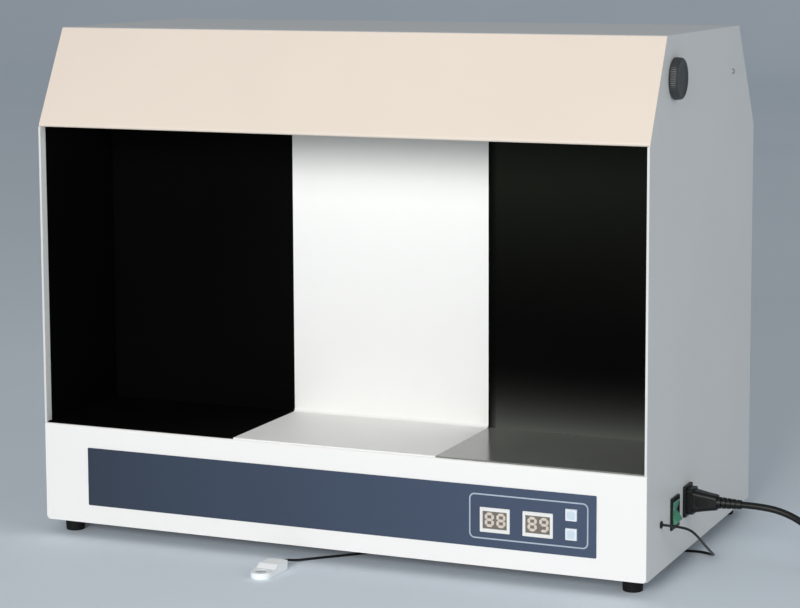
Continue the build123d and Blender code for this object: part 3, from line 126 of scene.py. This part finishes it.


# %% [markdown]
# A real finish is never one flat colour. Powder coat has a fine orange-peel relief and drifts a
# little in tone, moulded plastic has grain, and sheet steel has lines from the roller. One helper
# builds them all from the same parts: a large soft noise moves the colour between two near
# tones, and a fine noise makes the relief and drives how glossy each spot is. The noises read
# Object coordinates, so they stay on the piece when it moves.

# %% Finishes from layered noise
def finish(name, dark, light, roughness, grain, relief, drift=6.0, spread=0.06, stretch=(1, 1, 1),
           metallic=0.0, specular=0.5, coat=0.0):
    """Principled finish. dark and light are linear colours that a noise of drift cycles per metre
    mixes, grain is the fine noise's cycles per metre, relief its height in metres, and spread how
    far the roughness wanders. stretch scales the axes, so that brushed lines come out long."""
    material = bpy.data.materials.new(name)
    material.use_nodes = True
    tree = material.node_tree
    shader = tree.nodes["Principled BSDF"]
    place = tree.nodes.new("ShaderNodeTexCoord")
    mapping = tree.nodes.new("ShaderNodeMapping")
    mapping.inputs["Scale"].default_value = stretch
    tree.links.new(place.outputs["Object"], mapping.inputs["Vector"])
    soft, fine = (tree.nodes.new("ShaderNodeTexNoise") for _ in range(2))
    for noise, scale, detail in ((soft, drift, 3.0), (fine, grain, 2.0)):
        noise.inputs["Scale"].default_value = scale
        noise.inputs["Detail"].default_value = detail
        tree.links.new(mapping.outputs["Vector"], noise.inputs["Vector"])
    tones = tree.nodes.new("ShaderNodeValToRGB")
    tones.color_ramp.elements[0].position = 0.3
    tones.color_ramp.elements[0].color = (*dark, 1.0)
    tones.color_ramp.elements[1].position = 0.7
    tones.color_ramp.elements[1].color = (*light, 1.0)
    tree.links.new(soft.outputs["Fac"], tones.inputs["Fac"])
    tree.links.new(tones.outputs["Color"], shader.inputs["Base Color"])
    gloss = tree.nodes.new("ShaderNodeMapRange")
    gloss.inputs["To Min"].default_value = max(0.02, roughness - spread)
    gloss.inputs["To Max"].default_value = min(1.0, roughness + spread)
    tree.links.new(fine.outputs["Fac"], gloss.inputs["Value"])
    tree.links.new(gloss.outputs["Result"], shader.inputs["Roughness"])
    bump = tree.nodes.new("ShaderNodeBump")
    bump.inputs["Distance"].default_value = relief
    bump.inputs["Strength"].default_value = 0.6
    tree.links.new(fine.outputs["Fac"], bump.inputs["Height"])
    tree.links.new(bump.outputs["Normal"], shader.inputs["Normal"])
    shader.inputs["Metallic"].default_value = metallic
    shader.inputs["Specular IOR Level"].default_value = specular
    shader.inputs["Coat Weight"].default_value = coat
    return material


def darker(colour, share):
    """A linear colour made darker by a share, for the low end of a tone."""
    return tuple(c * (1 - share) for c in colour)


# %% [markdown]
# The casing is powder-coated sheet. The sloped fascia reads warmer than the lower front on the real
# object, so it has its own paint.

# %% Casing paints
warm_white = (0.86, 0.755, 0.65)
cool_white = (0.91, 0.90, 0.885)
# the sides and rear are painted greyer than the front: painted shade, on top of the real shade from
# the grazing main light
side_grey_with_painted_shade = (0.74, 0.75, 0.74)
peel_grain, peel_relief = 900, 0.00006
fascia_paint = finish("fascia_powder_coat", darker(warm_white, 0.03), warm_white, 0.42,
                      peel_grain, peel_relief)
front_paint = finish("front_powder_coat", darker(cool_white, 0.02), cool_white, 0.42,
                     peel_grain, peel_relief)
side_paint = finish("side_powder_coat", darker(side_grey_with_painted_shade, 0.03), side_grey_with_painted_shade, 0.45,
                    peel_grain, peel_relief)
print("casing paints:", fascia_paint.name, front_paint.name, side_paint.name)

# %% [markdown]
# The chamber's boards are matt, apart from the polished black plates of the right-hand zone, whose
# floor mirrors the white board beside it.

# %% Boards of the chamber
board_white = (0.90, 0.90, 0.885)
white_board = finish("white_board", darker(board_white, 0.02), board_white, 0.55, 1400, 0.00002)
black_board = finish("black_board", (0.0008, 0.0009, 0.0008), (0.0014, 0.0016, 0.0014),
                     0.8, 1400, 0.00003, specular=0.03)
black_wall = finish("black_polished_plate", (0.0007, 0.0008, 0.0006), (0.0014, 0.0016, 0.0012),
                    0.36, 700, 0.00001, specular=0.025)
black_floor = finish("black_mirror_plate", (0.152, 0.158, 0.143), (0.187, 0.193, 0.177),
                     0.16, 500, 0.000004, spread=0.03, specular=0.8)
reflector_white = finish("reflector_enamel", (0.60, 0.60, 0.59), (0.64, 0.64, 0.63),
                         0.28, 900, 0.00002)
print("boards:", white_board.name, black_board.name, black_wall.name, black_floor.name)

# %% [markdown]
# Some finishes also change along the piece. A ramp over one axis of the Object coordinates, bent
# by a power, mixes a second colour over the first one. The polished back plate gets painted light
# above the floor plate and a weaker one under the lamp, is deep black between them, and has painted
# shade along its edge beside the white board. The white board has painted shade at its top, under
# the reflector's lip. Behind the fascia's upper fold, the flat top has painted shade, as neutral as
# the sides.

# %% Colours that change along a piece
def blend_along(material, colour, axis, start, end, power=1.0):
    """Mixes colour over the finish, fully at start on the axis and less towards end, where it is
    gone: the factor is closeness ** power, and closeness falls evenly from 1 to 0."""
    tree = material.node_tree
    base = tree.nodes["Principled BSDF"].inputs["Base Color"]
    plain = base.links[0].from_socket
    place = tree.nodes.new("ShaderNodeTexCoord")
    split = tree.nodes.new("ShaderNodeSeparateXYZ")
    close = tree.nodes.new("ShaderNodeMapRange")
    bent = tree.nodes.new("ShaderNodeMath")
    blend = tree.nodes.new("ShaderNodeMixRGB")
    for socket, value in (("From Min", start), ("From Max", end), ("To Min", 1.0), ("To Max", 0.0)):
        close.inputs[socket].default_value = value
    bent.operation = "POWER"
    bent.inputs[1].default_value = power
    blend.inputs["Color2"].default_value = (*colour, 1.0)
    tree.links.new(place.outputs["Object"], split.inputs["Vector"])
    tree.links.new(split.outputs[axis], close.inputs["Value"])
    tree.links.new(close.outputs["Result"], bent.inputs[0])
    tree.links.new(bent.outputs["Value"], blend.inputs["Fac"])
    tree.links.new(plain, blend.inputs["Color1"])
    tree.links.new(blend.outputs["Color"], base)


fold_y, fold_half_width = front_y + 0.054, 0.0005
plate_foot_z, plate_top_z = base_z + 0.108, base_z + 0.428
# painted shade and painted reflection: the flat top behind the fold is a cooler, darker grey than
# the fascia
painted_top_shade_grey = (0.70, 0.715, 0.72)
# painted light: the polished back plate is lighter just above the floor plate
painted_light_over_floor = (0.100, 0.105, 0.095)
# painted light: the back plate is lighter towards its top, under the lamp
painted_light_under_lamp = (0.012, 0.0135, 0.010)
# painted shade: the back plate is darker along its edge beside the white board
painted_shade_by_board = (0.0004, 0.0004, 0.0004)
# painted shade: the white board is greyer at its top, under the reflector's lip
shade_grey = (0.46, 0.455, 0.435)
blend_along(fascia_paint, painted_top_shade_grey, "Y", fold_y + fold_half_width, fold_y - fold_half_width)
blend_along(black_wall, painted_light_over_floor, "Z", plate_foot_z, plate_foot_z + 0.085, power=3.5)
blend_along(black_wall, painted_light_under_lamp, "Z", plate_top_z, plate_top_z - 0.22, power=1.4)
blend_along(black_wall, painted_shade_by_board, "X", board_right_x, board_right_x + 0.009, power=0.6)
blend_along(white_board, shade_grey, "Z", plate_top_z, plate_top_z - 0.085, power=1.3)
print("back plate from z =", round(plate_foot_z, 3), "to", round(plate_top_z, 3))

# %% [markdown]
# The strip is a printed film with a fine matt texture. It looks a little lighter towards its
# right-hand end, so its colour also changes along X.

# %% Strip film and display plastics
strip_film = finish("strip_film", (0.017, 0.030, 0.056), (0.021, 0.036, 0.066), 0.5, 2500,
                    0.00001, drift=2.0)
lighter_blue = (0.042, 0.069, 0.128)
blend_along(strip_film, lighter_blue, "X", strip_right_x, strip_left_x)
line_print = finish("line_print", (0.36, 0.45, 0.53), (0.42, 0.50, 0.58), 0.5, 2500, 0.000005)
white_plastic = finish("white_plastic", (0.76, 0.765, 0.75), (0.84, 0.84, 0.82), 0.4, 1800, 0.00002)
readout_face = finish("readout_face", (0.13, 0.115, 0.10), (0.18, 0.16, 0.14), 0.35, 1500, 0.00001)
digit_segment = finish("digit_segment", (0.62, 0.54, 0.46), (0.70, 0.62, 0.54), 0.35, 1500, 0.00001)
key_white = finish("key_white", (0.72, 0.78, 0.84), (0.80, 0.86, 0.92), 0.35, 1800, 0.00001)
key_blue = finish("key_blue", (0.55, 0.67, 0.77), (0.62, 0.73, 0.82), 0.4, 1800, 0.00001)
print("strip finishes:", strip_film.name, line_print.name, white_plastic.name, key_white.name)

# %% [markdown]
# The dark pieces on the right-hand side are different blacks: the knob is a grey satin
# moulding, the switch and the inlet are fine-grained plastic, and the cord is soft vinyl.

# %% Knob, switch and cord finishes
knob_grey = finish("knob_moulding", (0.026, 0.030, 0.032), (0.040, 0.044, 0.045), 0.38, 1600,
                   0.00003)
black_plastic = finish("black_moulding", (0.003, 0.0035, 0.0035), (0.007, 0.008, 0.008), 0.42,
                       1600, 0.00003, specular=0.3)
rocker_green = finish("rocker_green", (0.075, 0.30, 0.19), (0.12, 0.40, 0.26), 0.25, 1200,
                      0.00001, coat=0.3)
cord_vinyl = finish("cord_vinyl", (0.0025, 0.003, 0.003), (0.006, 0.007, 0.007), 0.42, 2200,
                    0.00003, specular=0.3)
foot_rubber = finish("foot_rubber", (0.004, 0.004, 0.005), (0.009, 0.009, 0.010), 0.7, 1500,
                     0.00005, specular=0.2)
tie_vinyl = finish("tie_vinyl", (0.012, 0.012, 0.013), (0.022, 0.022, 0.023), 0.5, 2200, 0.00002)
print("dark finishes:", knob_grey.name, black_plastic.name, cord_vinyl.name, foot_rubber.name)

# %% [markdown]
# Metal pieces: zinc-plated sheet is cloudy and dull, screws and contacts are brighter. The
# brushed pieces get noise that is stretched along one axis, so it turns into lines. The boards,
# the transformer and the wires inside and the pale probe outside get their finishes here too.

# %% Metals, the pieces inside and the probe
zinc_sheet = finish("zinc_sheet", (0.42, 0.43, 0.44), (0.58, 0.59, 0.60), 0.42, 700, 0.00002,
                    drift=30, metallic=1.0)
plated_screw = finish("plated_screw", (0.50, 0.50, 0.49), (0.64, 0.64, 0.62), 0.3, 1800, 0.00001,
                      drift=90, metallic=1.0)
brushed_cap = finish("brushed_cap", (0.60, 0.60, 0.60), (0.72, 0.72, 0.72), 0.3, 900, 0.00001,
                     stretch=(0.08, 1, 1), metallic=1.0)
contact_brass = finish("contact_brass", (0.62, 0.46, 0.20), (0.74, 0.58, 0.28), 0.28, 1500, 0.00001,
                       drift=60, metallic=1.0)
board_green = finish("circuit_board", (0.012, 0.09, 0.035), (0.022, 0.14, 0.055), 0.35, 1200,
                     0.00002, drift=80)
core_varnish = finish("core_varnish", (0.10, 0.085, 0.04), (0.17, 0.14, 0.07), 0.4, 600, 0.00004,
                      drift=40, stretch=(1, 12, 1))
wire_red = finish("wire_insulation", (0.35, 0.03, 0.025), (0.45, 0.05, 0.035), 0.45, 2500, 0.00001)
probe_white = finish("probe_shell", (0.93, 0.96, 0.965), (0.96, 0.98, 0.985), 0.35, 1800, 0.00002)
probe_sensor = finish("probe_window", (0.34, 0.42, 0.46), (0.44, 0.52, 0.56), 0.3, 1800, 0.00001,
                      drift=200)
print("finishes so far:", len(bpy.data.materials))

# %% [markdown]
# The tube glows because its phosphor coat is lit from inside. An even emission on the
# glass is enough: the reflector around it and the white board below do the rest. The
# reflector's rear lip leaves a soft shade along the top of the board, and painted shade deepens it.

# %% Lamp glass
lamp_glass = finish("lamp_phosphor", (0.88, 0.89, 0.90), (0.93, 0.94, 0.95), 0.3, 900, 0.00001)
lamp_shader = lamp_glass.node_tree.nodes["Principled BSDF"]
lamp_shader.inputs["Emission Color"].default_value = (1.0, 0.985, 0.955, 1.0)
lamp_shader.inputs["Emission Strength"].default_value = 2.3
print("lamp's emission:", lamp_shader.inputs["Emission Strength"].default_value)

# %% [markdown]
# Each solid of the frame now gets its finish. Nodes that are made of the same stuff share one
# material, as the real pieces do.

# %% Finishes of the frame's own pieces
finishes = {
    fascia_paint: ["top_cover"],
    front_paint: ["front_panel"],
    side_paint: ["right_side_panel", "left_side_panel", "rear_panel"],
    white_board: ["white_backboard"],
    black_board: ["left_black_board", "side_wall_linings"],
    black_wall: ["right_back_plate"],
    black_floor: ["glossy_floor_plate"],
    reflector_white: ["lamp_reflector", "reflector_end_plates"],
    strip_film: ["control_strip"],
    white_plastic: ["display_bezels", "lamp_holders", "ballast_terminals", "terminal_block",
                    "board_spacers"],
    readout_face: ["display_modules"],
    key_white: ["upper_key", "lower_key"],
    knob_grey: ["dimmer_knob"],
    black_plastic: ["switch_housing", "inlet_socket", "key_switches", "buzzer", "probe_grommet"],
    rocker_green: ["power_rocker"],
    cord_vinyl: ["mains_connector", "connector_strain_relief", "mains_cord", "mains_cord_coil",
                 "plug_strain_relief", "mains_plug", "probe_lead"],
    tie_vinyl: ["cord_tie"],
    foot_rubber: ["rubber_feet"],
    zinc_sheet: ["base_tray", "chamber_floor_pan", "chamber_back_wall", "ballast_case",
                 "potentiometer_body"],
    plated_screw: ["rear_panel_screws", "side_cover_screws", "foot_screws", "knob_set_screw",
                   "potentiometer_nut"],
    brushed_cap: ["lamp_end_caps", "dimmer_shaft"],
    contact_brass: ["switch_terminals", "inlet_pins", "plug_pins"],
    board_green: ["power_board", "display_board"],
    core_varnish: ["transformer"],
    wire_red: ["inner_wiring"],
    probe_white: ["probe_lower_shell", "probe_upper_shell"],
    probe_sensor: ["probe_window"],
    lamp_glass: ["lamp_tube"],
}
for material, names in finishes.items():
    for name in names:
        nodes[name].data.materials.clear()
        nodes[name].data.materials.append(material)
finished = {name for names in finishes.values() for name in names}
print("nodes without a finish:", sorted(set(nodes) - finished))

# %% [markdown]
# The mains cord is one flexible round lead. It leaves the connector's strain relief level, bends
# down to the bench, and the length that nobody needs lies beside the cabinet as a flat coil of two
# layers with a tie round it. A curve with a round bevel is the plain way to make it: the
# route's points pull the curve, and the bevel gives its thickness.

# %% Route of the mains cord
cord_radius = 0.0035
coil_middle = np.array([0.548, 0.020])
coil_outer, coil_pitch, coil_rise = 0.049, 0.0078, 0.0076
coil_bed_z, plug_axis_z = 0.005, 0.016
turns_in, turns_climb, turns_out = 2.25, 0.5, 2.5
plug_rise_turns, first_turn, points_per_turn = 0.5, -0.25, 36
free_route = np.array([
    (0.398, -0.0545, 0.068), (0.423, -0.0545, 0.068), (0.446, -0.053, 0.0625),
    (0.464, -0.049, 0.0515), (0.478, -0.044, 0.0365), (0.492, -0.0385, 0.0215),
    (0.507, -0.0335, 0.010), (0.523, -0.029, 0.005), (0.541, -0.029, 0.005)])


def smooth_rise(share):
    """3 s^2 - 2 s^3: rises from 0 to 1 and is level at both ends."""
    share = np.clip(share, 0.0, 1.0)
    return share * share * (3 - 2 * share)


def coil_line(turn):
    """Points of the coil's middle line: the radius shrinks by one pitch a turn on the lower
    layer, the cord climbs over half a turn, and the radius grows again on the upper layer. Over
    the last half turn the cord comes level with the plug."""
    climb = np.clip((turn - turns_in) / turns_climb, 0.0, 1.0)
    radius = (coil_outer - coil_pitch * np.minimum(turn, turns_in)
              - coil_pitch / 2 * climb * (1 - climb)
              + coil_pitch * np.maximum(turn - turns_in - turns_climb, 0.0))
    to_end = turns_in + turns_climb + turns_out - turn
    top_z = coil_bed_z + coil_rise
    height = (coil_bed_z + coil_rise * smooth_rise(climb)
              + (plug_axis_z - top_z) * smooth_rise(1 - to_end / plug_rise_turns))
    angle = 2 * np.pi * (turn + first_turn)
    return np.stack([coil_middle[0] + radius * np.cos(angle),
                     coil_middle[1] + radius * np.sin(angle), height], axis=1)


coil_turns = turns_in + turns_climb + turns_out
coil_points = coil_line(np.linspace(0.0, coil_turns, round(coil_turns * points_per_turn) + 1))
plug_start = coil_points[-1] + (0.0, 2 * cord_radius, 0.0)
mains_route = np.concatenate([free_route, coil_points, [plug_start]])
print("route points of the mains cord:", len(mains_route))

# %% [markdown]
# A NURBS curve of order three passes smoothly between its points and touches the line between
# each two of them at the middle, which is just how a cord rounds off the corners of a route.

# %% Cords as bevelled curves
def round_cord(name, route, radius, material):
    """Curve along route with a round section. Its order is set after its points, as Blender
    needs."""
    curve = bpy.data.curves.new(name, "CURVE")
    curve.dimensions = "3D"
    curve.bevel_depth = radius
    curve.bevel_resolution = 6
    curve.resolution_u = 6
    curve.use_fill_caps = True
    spline = curve.splines.new("NURBS")
    spline.points.add(len(route) - 1)
    spline.points.foreach_set("co", np.column_stack([route, np.ones(len(route))]).ravel())
    spline.order_u = 3
    spline.use_endpoint_u = True
    curve.materials.append(material)
    cord = bpy.data.objects.new(name, curve)
    bpy.context.scene.collection.objects.link(cord)
    return cord


mains_lead = round_cord("mains_lead", mains_route, cord_radius, cord_vinyl)
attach(mains_lead, "housing")
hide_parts("mains_cord", "mains_cord_coil")

# %% [markdown]
# The probe's lead is thin and limp. It leaves a grommet low on the right-hand side, drops to the
# bench, runs under the cabinet between the feet and comes out in front, at the probe.

# %% Lead of the probe
grommet_y, grommet_z = front_y + 0.048, base_z + 0.0477
lead_radius = 0.0013
on_bench, near_bench = lead_radius - grommet_z, 0.0022 - grommet_z
probe_turn = math.radians(88)
probe_half_length = 0.025
probe_way = np.array([math.cos(probe_turn), math.sin(probe_turn), 0.0])
probe_exit = np.array([-0.0415, front_y - 0.061, 0.0068]) + probe_way * probe_half_length
lead_steps = np.array([  # from the middle of the grommet
    (0.0015, 0.0, 0.0), (0.014, 0.0, 0.0), (0.027, 0.009, -0.004), (0.031, 0.024, -0.0145),
    (0.0305, 0.046, -0.027), (0.0285, 0.072, -0.0395), (0.026, 0.098, -0.051),
    (0.020, 0.126, near_bench), (0.003, 0.139, on_bench), (-0.022, 0.134, on_bench),
    (-0.052, 0.112, on_bench), (-0.100, 0.092, on_bench), (-0.155, 0.086, on_bench),
    (-0.212, 0.076, on_bench), (-0.264, 0.052, on_bench), (-0.306, 0.014, on_bench),
    (-0.336, -0.016, on_bench), (-0.355, -0.034, on_bench), (-0.367, -0.046, on_bench),
    (-0.375, -0.058, near_bench)])
lead_route = np.concatenate([
    lead_steps + (half_width, grommet_y, grommet_z),
    [probe_exit + probe_way * 0.013 + (0, 0, -0.001), probe_exit]])
print("route points of the probe's lead:", len(lead_route))
thin_lead = round_cord("probe_cable", lead_route, lead_radius, cord_vinyl)
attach(thin_lead, "housing")
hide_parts("probe_lead")

# %% [markdown]
# A thin printed line with round corners frames the displays and keys. Printed ink stands a few
# hundredths of a millimetre proud of the film. It is a flat band: a small profile of four points is
# carried round a rounded rectangle.

# %% Bands round a rounded rectangle
def rounded_loop(width, height, radius, steps=10):
    """Points of a rounded rectangle and its outward directions, four quarter circles joined."""
    angle = (np.arange(4)[:, None] * 90 + np.linspace(0, 90, steps)[None, :]) * math.pi / 180
    out = np.stack([np.cos(angle), np.sin(angle)], axis=-1)
    quarters = np.array([(1, 1), (-1, 1), (-1, -1), (1, -1)])
    middle = quarters * (width / 2 - radius, height / 2 - radius)
    return (middle[:, None, :] + out * radius).reshape(-1, 2), out.reshape(-1, 2)


def front_band(name, centre, size, radius, line, y_range):
    """Band of width line on the front: each loop point carries four profile points, at half the
    line's width outwards and inwards and at the two depths of y_range."""
    loop, out = rounded_loop(*size, radius)
    deep, proud = y_range
    profile = [(line / 2, deep), (line / 2, proud), (-line / 2, proud), (-line / 2, deep)]
    across = np.array([offset for offset, _ in profile])
    depth = np.array([y for _, y in profile])
    flat = loop[:, None, :] + out[:, None, :] * across[None, :, None]
    points = np.empty((len(loop), 4, 3))
    points[:, :, 0] = centre[0] + flat[:, :, 0]
    points[:, :, 2] = centre[1] + flat[:, :, 1]
    points[:, :, 1] = depth[None, :]
    return grid_mesh(name, points, wrap_rows=True)


outline_middle, outline_size = (0.21765, base_z + 0.05145), (0.1247, 0.0449)
outline_corner, line_width = 0.0052, 0.0014
line_depths = (strip_front_y + 0.0001, strip_front_y - 0.00006)
outline = front_band("strip_outline", outline_middle, outline_size, outline_corner, line_width,
                     line_depths)
add_piece("strip_outline", outline, "housing", line_print, smooth=False)
print("faces of the outline:", len(outline.polygons))

# %% [markdown]
# The readouts have seven-segment digits. Each segment is a bar with pointed ends, so that
# neighbours meet along a slanting gap. Which segments are on is written as one word per digit.

# %% Digits of the two displays
digit_width, digit_height, bar, gap = 0.0098, 0.0148, 0.0028, 0.00022
segment_places = {
    "a": (0, 1, True), "b": (1, 0.5, False), "c": (1, -0.5, False), "d": (0, -1, True),
    "e": (-1, -0.5, False), "f": (-1, 0.5, False), "g": (0, 0, True)}
digit_words = {"8": "abcdefg", "9": "abcdfg"}


def segment_outline(level, length):
    """Six corners of a bar of that length with pointed ends, level or upright."""
    reach, side = length / 2, bar / 2
    corners = np.array([(-reach, 0), (-reach + side, -side), (reach - side, -side), (reach, 0),
                        (reach - side, side), (-reach + side, side)])
    return corners if level else corners[:, ::-1] * (-1, 1)


def digit_mesh(name, texts, depth):
    """All lit segments of several digits in one mesh: each is a six-sided plate, a front and a
    back ring of points joined by a wall. texts holds (digit, x of its middle)."""
    across, tall = (digit_width - bar) / 2, (digit_height - bar) / 2
    vertices, faces = [], []
    for digit, middle in texts:
        for letter in digit_words[digit]:
            x, z, level = segment_places[letter]
            length = (digit_width - bar if level else (digit_height - bar) / 2) - 2 * gap
            ring = segment_outline(level, length) + (middle + x * across, display_z + z * tall)
            start, around = len(vertices), len(ring)
            for y in depth:
                vertices += [(px, y, pz) for px, pz in ring]
            faces.append([start + k for k in range(around)])
            faces.append([start + around + k for k in range(around)][::-1])
            faces += [[start + k, start + around + k, start + around + (k + 1) % around,
                       start + (k + 1) % around] for k in range(around)]
    mesh = bpy.data.meshes.new(name)
    mesh.from_pydata(vertices, [], faces)
    mesh.validate()
    return mesh


readout_y = front_y + 0.0006
digit_depth = (readout_y - 0.0003, readout_y + 0.0001)
digit_offset = 0.0062
for name, middle, digits in (("timer_digits", timer_x, "88"),
                             ("illuminance_digits", illuminance_x, "89")):
    texts = list(zip(digits, (middle - digit_offset, middle + digit_offset)))
    readout = digit_mesh(name, texts, digit_depth)
    add_piece(name, readout, "housing", digit_segment, smooth=False)
    print(name, "faces:", len(readout.polygons))

# %% [markdown]
# Each key has a pale inlay on its cap. It rides on the key's own body, so it moves in with it.

# %% Inlays of the keys
def pillow_plate(name, centre, size, radius, y_base, height, widen=1.4):
    """Low plate with a rounded edge: loops of a rounded square shrink by 1 - cos, times widen,
    while they come forward by sin over a quarter turn, and a flat face closes the last one."""
    rows = []
    for turn in np.linspace(0, math.pi / 2, 6):
        inset = height * (1 - math.cos(turn)) * widen
        loop, _ = rounded_loop(size - 2 * inset, size - 2 * inset, radius)
        rows.append(np.column_stack([centre[0] + loop[:, 0],
                                     np.full(len(loop), y_base - height * math.sin(turn)),
                                     centre[1] + loop[:, 1]]))
    return grid_mesh(name, np.array(rows)[:, ::-1], caps=True)


key_proud = 0.0016
key_front_y = strip_front_y - key_proud
inlay_size, inlay_corner, inlay_sunk, inlay_height = 0.0082, 0.0018, 0.0001, 0.0003
for body, key_z in (("upper_key", base_z + 0.0615), ("lower_key", base_z + 0.042)):
    inlay = pillow_plate(body + "_inlay", (key_x, key_z), inlay_size, inlay_corner,
                         key_front_y + inlay_sunk, inlay_height)
    add_piece(body + "_inlay", inlay, body, key_blue)
    print(body, "inlay faces:", len(inlay.polygons))

# %% [markdown]
# The knob turns the lamp down. Its side is fluted for grip, its face has a shallow dish with a
# soft rim. Turning a profile round the axis gives the body, and a cosine wave on the
# radius cuts the flutes where the profile is the side.

# %% Fluted knob
knob_centre = np.array([half_width, front_y + 0.079, base_z + 0.489])
knob_profile = [  # distance from the panel, radius, share of the flutes
    (0.0012, 0.0178, 0.0), (0.0008, 0.0195, 0.0), (0.0008, 0.0204, 0.0), (0.0012, 0.0210, 0.6),
    (0.0020, 0.0210, 1.0), (0.0038, 0.0209, 1.0), (0.0056, 0.0207, 1.0), (0.0070, 0.0206, 0.8),
    (0.0079, 0.0202, 0.2), (0.0085, 0.0194, 0.0), (0.0087, 0.0184, 0.0), (0.0087, 0.0172, 0.0),
    (0.0083, 0.0160, 0.0), (0.0080, 0.0146, 0.0), (0.0079, 0.0100, 0.0), (0.0079, 0.0040, 0.0)]


def turned_knob(name, profile, flutes=60, depth=0.00035, around=480):
    """x = distance, radius = r - depth * share * (1 - cos(flutes * angle)) / 2 for each profile
    point, so the flutes fade out where the share goes to 0."""
    out, radius, share = np.array(profile).T
    angle = np.linspace(0, 2 * math.pi, around, endpoint=False)
    wave = (1 - np.cos(flutes * angle)) / 2
    r = radius[:, None] - depth * share[:, None] * wave[None, :]
    points = np.stack([np.broadcast_to(out[:, None], r.shape), r * np.cos(angle),
                       r * np.sin(angle)], axis=-1)
    return grid_mesh(name, points + knob_centre, caps=True)


knob = add_piece("fluted_knob", turned_knob("fluted_knob", knob_profile), "dimmer", knob_grey)
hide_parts("dimmer_knob")
print("faces of the knob:", len(knob.data.polygons))

# %% [markdown]
# Folded sheet and moulded plastic have no knife edges. A Bevel modifier rounds the edges of the
# frame's pieces a little for the render, so that they catch the light, without moving a face.

# %% Soft edges
def soften(name, width, segments=2):
    """Rounds the sharp edges of a frame piece by width, measured in metres."""
    bevel = nodes[name].modifiers.new("soft_edges", "BEVEL")
    bevel.width = width
    bevel.segments = segments
    bevel.limit_method = "ANGLE"
    bevel.angle_limit = math.radians(40)
    bevel.harden_normals = False


folded_edge, moulded_edge = 0.0005, 0.0003
for name in ("front_panel", "top_cover", "right_side_panel", "left_side_panel", "rear_panel"):
    soften(name, folded_edge)
for name in ("display_bezels", "upper_key", "lower_key", "switch_housing", "power_rocker"):
    soften(name, moulded_edge)
print("pieces with soft edges:", sum(len(node.modifiers) > 0 for node in nodes.values()))

# %% [markdown]
# The cabinet stands on a pale paper floor. Far behind it the floor curves up into a wall, as in a
# photo studio, so that no corner shows behind the object.

# %% Floor and backdrop
floor_front_y, bend_y, bend_radius, wall_top_z, half_floor_width = -9.0, 7.0, 2.0, 7.0, 12.0


def studio_sweep(steps=24):
    """Floor at z = 0 that turns up through a quarter circle into a wall: over the bend, y grows
    by radius * sin and z by radius * (1 - cos)."""
    turn = np.linspace(0, math.pi / 2, steps)
    y = np.concatenate([[floor_front_y, bend_y], bend_y + bend_radius * np.sin(turn),
                        [bend_y + bend_radius]])
    z = np.concatenate([[0.0, 0.0], bend_radius * (1 - np.cos(turn)), [wall_top_z]])
    x = np.array([-half_floor_width, half_floor_width])
    grid = (len(y), len(x))
    points = np.stack([np.broadcast_to(x[None, :], grid), np.broadcast_to(y[:, None], grid),
                       np.broadcast_to(z[:, None], grid)], axis=-1)
    return grid_mesh("studio_sweep", points, wrap_columns=False)


studio_paper = finish("studio_paper", (0.76, 0.84, 0.91), (0.79, 0.87, 0.94), 0.7, 300, 0.0001,
                      drift=1.0)
sweep_mesh = studio_sweep()
sweep = bpy.data.objects.new("studio_sweep", sweep_mesh)
sweep_mesh.materials.append(studio_paper)
sweep_mesh.polygons.foreach_set("use_smooth", np.ones(len(sweep_mesh.polygons), bool))
bpy.context.scene.collection.objects.link(sweep)
print("faces of the floor and wall:", len(sweep_mesh.polygons))

# %% [markdown]
# One large soft light in front does most of the work, a weaker one on the right opens the shadows
# on that side, and faint light comes from everywhere. The side of the casing stays grey partly
# because the main light only grazes it and partly from the painted shade in its greyer paint.

# %% Lights
def soft_light(name, place, target, size, power, colour, spread):
    """Square area light of that size in metres at place, turned towards target. Its beam is spread
    degrees wide."""
    lamp = bpy.data.lights.new(name, "AREA")
    lamp.shape = "SQUARE"
    lamp.size = size
    lamp.energy = power
    lamp.color = colour
    lamp.spread = math.radians(spread)
    holder = bpy.data.objects.new(name, lamp)
    aim = np.array(target, float) - np.array(place, float)
    holder.location = place
    holder.rotation_mode = "QUATERNION"
    holder.rotation_quaternion = Vector(aim).to_track_quat("-Z", "Y")
    bpy.context.scene.collection.objects.link(holder)
    return holder


cabinet_middle = (0, 0, 0.25)
key_light = soft_light("key_light", (0.3, -3.6, 1.15), cabinet_middle, size=1.3, power=24.5,
                       colour=(1.0, 0.985, 0.97), spread=100)
fill_light = soft_light("fill_light", (3.2, -0.8, 1.3), cabinet_middle, size=1.6, power=18.0,
                        colour=(0.98, 0.99, 1.0), spread=180)
world = bpy.data.worlds.new("studio_air")
bpy.context.scene.world = world
world.use_nodes = True
air = world.node_tree.nodes["Background"]
air.inputs["Color"].default_value = (0.95, 0.975, 1.0, 1.0)
air.inputs["Strength"].default_value = 0.33
bpy.context.scene.view_settings.view_transform = "Standard"
print("lights in watts:", key_light.data.energy, fill_light.data.energy)
